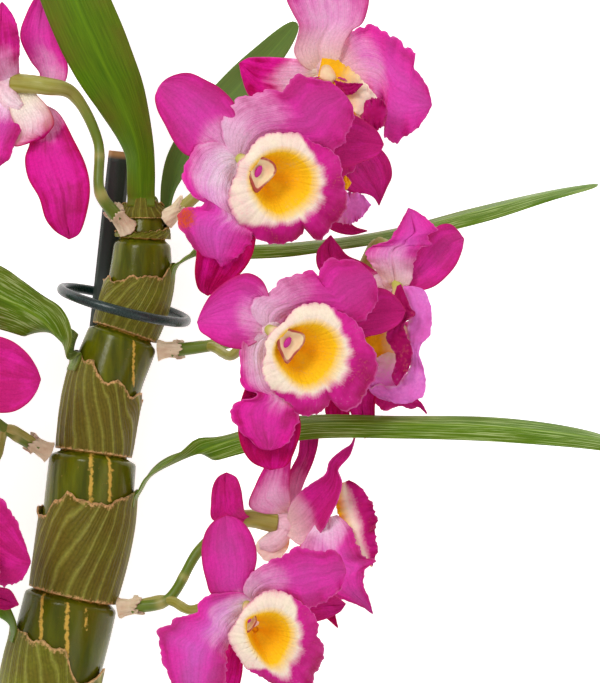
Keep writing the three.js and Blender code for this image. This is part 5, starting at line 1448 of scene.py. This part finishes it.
def sideLipPart(p, flower):
    u, turn = (np.linspace(start, 1, steps) for start, steps in zip((0, -1), sideLipGrain))
    u, turn = u[:, None], turn[None, :]
    sweep = 162  # degrees from the tip to each end
    a = turn * sweep * degree
    towardsTip = (1 + np.cos(a)) / 2
    reach = mix(p["side"], p["reach"], towardsTip ** p["taper"])
    reach = reach * mix(0.8, 1, np.clip((1 - np.abs(turn)) / 0.3, 0, 1))
    fine = np.sin(turn * 47) + 0.7 * np.sin(turn * 83 + 1) + 0.5 * np.sin(turn * 131)
    reach = reach * (1 + 0.014 * fine)
    radii = [1.6, p["throat"] * 1.05, p["throat"], mix(p["throat"], reach, 0.62), reach]
    heights = [-p["depth"], -p["depth"] * 0.95, 1.2, 2.6, -p["drop"] * towardsTip]
    radius = sum(k * u**i * (1 - u) ** (4 - i) * r for i, (k, r) in enumerate(zip((1, 4, 6, 4, 1), radii)))
    height = sum(k * u**i * (1 - u) ** (4 - i) * h for i, (k, h) in enumerate(zip((1, 4, 6, 4, 1), heights)))
    wave = np.sin(turn * 19 + 0.8) + 0.5 * np.sin(turn * 34 + 2)
    height = height + 1.3 * u**4 * wave
    grid = np.stack([radius * np.sin(a), -radius * np.cos(a) - p["away"],
                     height + 3.4 + p["depth"] + 0 * a], axis=-1)
    ones = np.ones_like(grid[..., 0])
    # amber: orange towards the bowl's base, partly its own colour and partly painted shade; rim: a thin lighter
    # line along the edge, a painted highlight
    masks = {"margin": np.clip((u - 0.62) / 0.2, 0, 1) * ones, "gold": np.clip(1 - (u - 0.42) / 0.14, 0, 1) * ones,
             "amber": np.clip(0.8 - u * 2, 0, 1) * ones, "deep": np.clip(u * 1.4 - 0.7, 0, 1) * ones,
             "rim": ease((u - 0.95) / 0.05) * ones}
    uv = np.stack([u * ones, turn * ones * 0.5], axis=-1)
    return [bladePart(inFlower(grid, flower), tissueThickness + 0.1, uv, masks)]


# The lobes of the lips that are seen from the side, as blades between outlines in the picture. gold and margin
# say along which way, u along the lobe or w across it, their colour fades, from where to where.
lobeDefault = dict(petalDefault, gold=None, margin=("u", 0.2, 0.6), deep=0.5, layer=0.0, rise=[0, 0.6, 0.8, 0],
                   crease=0.0, cup=0.0, ruffle=0.8, frill=0.04)
lobes = {
    "flower_b": [
        dict(lobeDefault, left=[(322, 58), (336, 60), (352, 70), (366, 84)],
             right=[(316, 86), (330, 96), (346, 108), (362, 114)], tip=(380, 101), height=[38, 41, 43, 43],
             gold=("u", 0.25, 0.75), margin=("u", 1.2, 1.4)),
        dict(lobeDefault, left=[(334, 80), (346, 83), (356, 83)],
             right=[(338, 91), (346, 95), (353, 94)], tip=(363, 84), height=[42, 45, 46],
             margin=("u", -0.4, 0.1), deep=0.9),
        dict(lobeDefault, left=[(362, 108), (366, 101), (375, 98), (383, 100)],
             right=[(360, 116), (366, 124), (376, 130), (384, 125)], tip=(387, 111), height=[42, 45, 46, 45],
             margin=("u", -0.4, 0.2), deep=0.8, ruffle=1.2),
        dict(lobeDefault, left=[(334, 186), (348, 192), (361, 194)],
             right=[(336, 222), (350, 224), (361, 218)], tip=(371, 205), height=[30, 31, 32],
             margin=("u", -0.4, 0.4), deep=0.0, ruffle=1.0, lilac=0.9),
        dict(lobeDefault, left=[(334, 174), (341, 174), (347, 177)],
             right=[(334, 192), (341, 192), (347, 189)], tip=(351, 183), height=[31, 33, 33],
             gold=("u", 0.9, 1.3), margin=("u", 1.3, 1.6)),
    ],
    "flower_d": [
        dict(lobeDefault, left=[(400, 286), (405, 300), (409, 316), (407, 330), (410, 345), (411, 360),
                                (407, 373), (398, 384), (388, 386), (378, 384)],
             right=[(412, 286), (424, 290), (430, 304), (432, 321), (430, 334), (422, 344), (419, 353),
                    (423, 367), (426, 382), (423, 395), (413, 402), (401, 404), (388, 400)], tip=(369, 390),
             height=[41, 42, 43, 42, 40], margin=("w", -0.4, 0.3), deep=0.0, ruffle=1.0, waves=6.0, lilac=0.75),
        dict(lobeDefault, left=[(388, 352), (378, 357), (370, 367), (367, 380), (369, 390)],
             right=[(396, 354), (404, 366), (406, 380), (400, 394), (392, 401)], tip=(379, 398),
             height=[38, 39, 39, 38], margin=("u", -0.1, 0.7), deep=0.0, waves=5.0, lilac=0.8),
        dict(lobeDefault, left=[(397, 286), (394, 298), (397, 310), (400, 320), (392, 328), (386, 334),
                                (390, 346), (396, 356), (394, 368), (392, 378)],
             right=[(401, 284), (406, 296), (411, 308), (416, 314), (405, 322), (405, 332), (411, 344),
                    (412, 356), (409, 368), (402, 378)], tip=(396, 386), height=[44, 47, 48, 47, 45],
             margin=("u", -1.0, -0.5), deep=1.0, ruffle=1.3, waves=6.0),
        dict(lobeDefault, left=[(398, 322), (382, 328), (368, 336)],
             right=[(402, 346), (390, 362), (374, 364)], tip=(356, 350), height=[38, 36, 36],
             gold=("u", 0.0, 0.45), margin=("u", 2.0, 3.0), gilt=True),
    ],
    "flower_f": [
        dict(lobeDefault, left=[(342, 483), (337, 491), (336, 505), (339, 520), (346, 540), (354, 556)],
             right=[(349, 480), (358, 485), (367, 495), (373, 506), (377, 520), (375, 534), (378, 548),
                    (375, 558)], tip=(372, 567), height=[32, 34, 35, 34], gold=("w", 0.05, 0.35),
             margin=("w", 0.35, 0.7), deep=0.6, waves=6.0, ruffle=1.2),
        dict(lobeDefault, left=[(276, 528), (266, 534), (257, 542), (256, 549)],
             right=[(290, 534), (288, 548), (282, 556), (276, 562)], tip=(264, 560), height=[26, 27, 28],
             gold=("u", -0.2, 0.5), margin=("u", 1.4, 2.0), ruffle=0.3, frill=0.0),
    ],
}


# How far a fade has come: 0 before its start and 1 past its end, along u or w.
def fadeOf(fade, uu, ww):
    if not fade:
        return np.ones_like(uu)
    way, start, end = fade
    return np.clip(((uu if way == "u" else ww * 0.5 + 0.5) - start) / (end - start), 0, 1)


def lobePart(t, flower):
    grid, _, uu, ww = bladeGrid(t, flower)
    faded = fadeOf(t["gold"], uu, ww)
    gold = faded if t.get("gilt") else (1 - faded) * (t["gold"] is not None)
    margin = fadeOf(t["margin"], uu, ww)
    # rim: a faint lighter line along the lobes' margins, a painted highlight; amber follows the gold, partly
    # painted shade
    masks = {"gold": gold, "margin": margin, "lilac": np.full_like(uu, t["lilac"]),
             "deep": np.clip(t["deep"] + 0.3 * np.abs(ww) ** 4, 0, 1) * margin,
             "rim": 0.4 * ease((np.abs(ww) - 0.93) / 0.07), "amber": 0.3 * gold}
    return bladePart(grid, tissueThickness, np.stack([uu, ww * 0.4], axis=-1), masks)


# The columns that the throats show from the front, as rings between outlines in the picture: from a green foot
# out to the hood's edge, where a red line is painted as the shadow of its wings, then back in to a hollow that
# holds the cap.
hoods = {
    "flower_a": {"foot": (241, 159, 5.5), "middle": (263, 171), "cap": (258.5, 171.5, 3.2, 6.5, 25),
                 "edge": [(249, 163), (256, 157), (266, 158), (275, 164), (276.5, 171), (272, 178), (264, 186),
                          (256, 193), (252, 186), (249, 177)], "height": (2.5, 8.2)},
    "flower_c": {"foot": (270, 330, 5.5), "middle": (292, 342), "cap": (287.5, 342.5, 3.2, 6.0, 30),
                 "edge": [(277, 333), (283, 328), (293, 330), (304, 334), (305, 341), (301, 348), (294, 356),
                          (287, 364), (282, 357), (278, 347)], "height": (2.5, 8.2)},
    "flower_e": {"foot": (247, 605, 4.5), "middle": (249, 620), "cap": (249, 619, 2.2, 4.0, 10),
                 "edge": [(243, 612), (249, 610), (255, 614), (257, 621), (253, 628), (247, 633), (242, 627),
                          (241, 619)], "height": (2.0, 7.2)},
}


def hoodParts(h, flower):
    rows, columns = 46, 72
    turn = wholeTurn(columns) - math.pi
    circle = np.stack([np.cos(turn), -np.sin(turn)], axis=-1)
    middle = np.array(h["middle"], float)
    edge = reachRound(h["edge"], h["middle"], turn)[:, None] * circle + middle
    foot = np.array(h["foot"][:2]) + h["foot"][2] * circle
    low, rimHeight = h["height"]
    steps = [(foot, 1.0, low - 2.5), (foot, 1.0, low), (mix(foot, edge, 0.4), 0.92, mix(low, rimHeight, 0.5)),
             (edge, 0.93, rimHeight - 1.0), (edge, 1.0, rimHeight), (edge, 0.97, rimHeight + 0.25),
             (edge, 0.86, rimHeight + 0.05), (edge, 0.7, rimHeight - 0.6), (edge, 0.4, rimHeight - 1.6),
             (edge, 0.08, rimHeight - 1.9)]
    rings = []
    for ring, size, height in steps:
        centre = ring.mean(axis=0)
        rings.append(np.column_stack([centre + (ring - centre) * size, np.full(columns, height * 3)]))
    rings = smoothPath(np.stack(rings).reshape(len(steps), -1), rows).reshape(rows, columns, 3)
    lift = rings[..., 2] / 3
    grid = lifted(onFlower(rings[..., :2], flower), lift)
    share = np.linalg.norm(rings[..., :2] - middle, axis=-1) / np.linalg.norm(edge - middle, axis=-1)
    # painted shadow: a red line along the top of the hood's outer edge
    ink = ease((share - 0.74) / 0.12) * ease((lift - rimHeight + 1.0) / 0.5)
    body = tubePart(grid, masks={"foot": ease((rimHeight - 2.2 - lift) / 2.5), "ink": ink})
    x, y, wide, long, lean = h["cap"]
    s = np.linspace(0.02, math.pi - 0.02, 14)[:, None]
    a, b = np.sin(s) * np.cos(turn) * wide, np.sin(s) * np.sin(turn) * long
    c, d = math.cos(math.radians(lean)), math.sin(math.radians(lean))
    flat = np.stack([x + a * c + b * d, y - b * c + a * d], axis=-1)
    lift = rimHeight - 1.2 + np.cos(s) * 0.8 + 0 * turn
    cap = tubePart(lifted(onFlower(flat, flower), lift), masks={"cap": np.ones_like(lift)})
    return [body, cap]


# The column: a short arched body from the petals' centre into the throat, widest at its hood, with a purple cap
# on the end and a blush apron below; a purple-red line near the tip and round the apron's edge is painted shadow.
def columnParts(flower):
    steps, sides = 40, 40
    path = smoothPath([(0, 1.0, 1.6), (0, 0.7, 4.4), (0, -0.4, 7.2), (0, -2.4, 9.4), (0, -3.9, 9.9)], steps)
    t = np.linspace(0, 1, steps)
    tangent = tangentsOf(path)
    front, beside = crossing(tangent, (1, 0, 0))
    wide = np.interp(t, [0, 0.3, 0.6, 0.85, 0.97, 1], [1.5, 1.7, 2.3, 2.6, 1.5, 0.5])
    deep = np.interp(t, [0, 0.3, 0.6, 0.85, 0.97, 1], [1.5, 1.6, 1.8, 1.7, 1.0, 0.4])
    turn = wholeTurn(sides)
    hollow = 1 - 0.35 * np.exp(-(((turn - math.pi * 1.5) / 0.5) ** 2))[None, :] * ease((t - 0.5) / 0.3)[:, None]
    grid = (path[:, None] + front[:, None] * (np.cos(turn)[None] * wide[:, None])[..., None]
            + beside[:, None] * (np.sin(turn)[None] * deep[:, None] * hollow)[..., None])
    foot = np.repeat(ease((0.65 - t) / 0.5)[:, None], sides, axis=1)
    # painted shadow: a purple-red ring near the column's tip
    ink = np.repeat(np.exp(-(((t - 0.93) / 0.04) ** 2))[:, None], sides, axis=1) * 0.7
    body = tubePart(grid, masks={"foot": foot, "ink": ink})
    s = np.linspace(0, math.pi, 16)[:, None]
    ball = np.stack([np.sin(s) * np.cos(turn) * 1.15, np.sin(s) * np.sin(turn) * 1.7,
                     np.cos(s) * 0.9 + 0 * turn], axis=-1)
    cap = tubePart(ball[1:-1] + np.array([0, -3.5, 10.0]), masks={"cap": np.ones((len(ball) - 2, sides))})
    rows, columns = 30, 24
    u, w = np.linspace(0, 1, rows)[:, None], np.linspace(-1, 1, columns)[None, :]
    half = 3.5 * np.sqrt(np.clip(1 - u**1.6, 0, 1)) * mix(0.55, 1, ease(u / 0.25))
    x = half * w + 0 * u
    apron = np.stack([x, -2.2 - 7.6 * u + 0.8 * w**2 * u,
                      7.8 - 1.6 * u + 1.1 * w**2 - 0.5 * np.sin(math.pi * u)], axis=-1)
    # painted shadow: a purple-red border round the apron
    border = np.maximum(ease((np.abs(w) - 0.72) / 0.28) * ease(u / 0.2), ease((u - 0.82) / 0.15))
    flap = bladePart(apron, 0.5, np.stack([u + 0 * w, w + 0 * u], axis=-1), {"ink": border * np.ones_like(x)})
    for part in (body, cap, flap):
        part["points"] = inFlower(part["points"], flower)
    return [body, cap, flap]


for flowerName, flowerPlace in flowerPlaces.items():
    if flowerName in openLips:
        lipParts = openLipPart(openLips[flowerName], flowerPlace)
        columnShapes = hoodParts(hoods[flowerName], flowerPlace)
    else:
        lipParts = sideLipPart(sideLips[flowerName], flowerPlace)
        lipParts += [lobePart(t, flowerPlace) for t in lobes.get(flowerName, [])]
        columnShapes = columnParts(flowerPlace)
    addPiece(flowerName + "_lipBlade", lipParts, lipMaterial, [flowerName + "_lip"])
    addPiece(flowerName + "_hood", columnShapes, columnMaterial, [flowerName + "_column"])
print("lips and columns made")

# The floor, the light and the camera, which looks straight down on the stem.
def makeFloor():
    mesh = bpy.data.meshes.new("floor")
    reach = studio["floor"]
    mesh.from_pydata([(-reach, -reach, 0), (reach, -reach, 0), (reach, reach, 0), (-reach, reach, 0)], [],
                     [(0, 1, 2, 3)])
    material, tree, shader = newMaterial("floorPaper", "#ffffff")
    place = put(tree, "ShaderNodeTexCoord").outputs["Object"]
    noise = put(tree, "ShaderNodeTexNoise", {"Vector": place, "Scale": 3.0, "Detail": 2.0}).outputs["Fac"]
    tree.links.new(blendOf(tree, noise, colour("#fcfcfc"), colour("#ffffff")), shader.inputs["Base Color"])
    shader.inputs["Emission Color"].default_value = (1, 1, 1, 1)
    shader.inputs["Emission Strength"].default_value = studio["glow"]
    shader.inputs["Roughness"].default_value = 0.9
    shader.inputs["Specular IOR Level"].default_value = 0.0
    mesh.materials.append(material)
    floor = bpy.data.objects.new("floor", mesh)
    bpy.context.scene.collection.objects.link(floor)


def addLight(name, place, size, power, target=(0, 0, 0.03)):
    light = bpy.data.lights.new(name, "AREA")
    light.shape, light.size, light.energy = "DISK", size, power
    lamp = bpy.data.objects.new(name, light)
    lamp.location = place
    way = np.array(target) - np.array(place)
    lamp.rotation_mode = "QUATERNION"
    lamp.rotation_quaternion = Vector(way.tolist()).to_track_quat("-Z", "Y")
    bpy.context.scene.collection.objects.link(lamp)


studio = {"sky": 0.62, "key": 14.0, "fill": 4.0, "glow": 0.74, "floor": 6, "sensor": 36}


def makeStudio():
    makeFloor()
    addLight("keyLight", (-0.75, 0.85, 1.5), 0.7, studio["key"])
    addLight("fillLight", (1.1, -0.5, 1.4), 1.1, studio["fill"])
    world = bpy.data.worlds.new("studioSky")
    bpy.context.scene.world = world
    world.use_nodes = True
    world.node_tree.nodes["Background"].inputs[0].default_value = (1, 1, 1, 1)
    world.node_tree.nodes["Background"].inputs[1].default_value = studio["sky"]
    camera = bpy.data.cameras.new("camera")
    camera.sensor_fit = "AUTO"
    camera.sensor_width = studio["sensor"]
    camera.lens = studio["sensor"] * (drawing["eye"] - drawing["level"]) / (drawing["high"] * drawing["step"])
    camera.clip_start, camera.clip_end = 0.05, 20
    seen = bpy.data.objects.new("camera", camera)
    seen.location = (drawing["shift"][0] * 0.001, drawing["shift"][1] * 0.001, drawing["eye"] * 0.001)
    bpy.context.scene.collection.objects.link(seen)
    bpy.context.scene.camera = seen
    bpy.context.scene.view_settings.view_transform = "Standard"


makeStudio()
print("studio made")
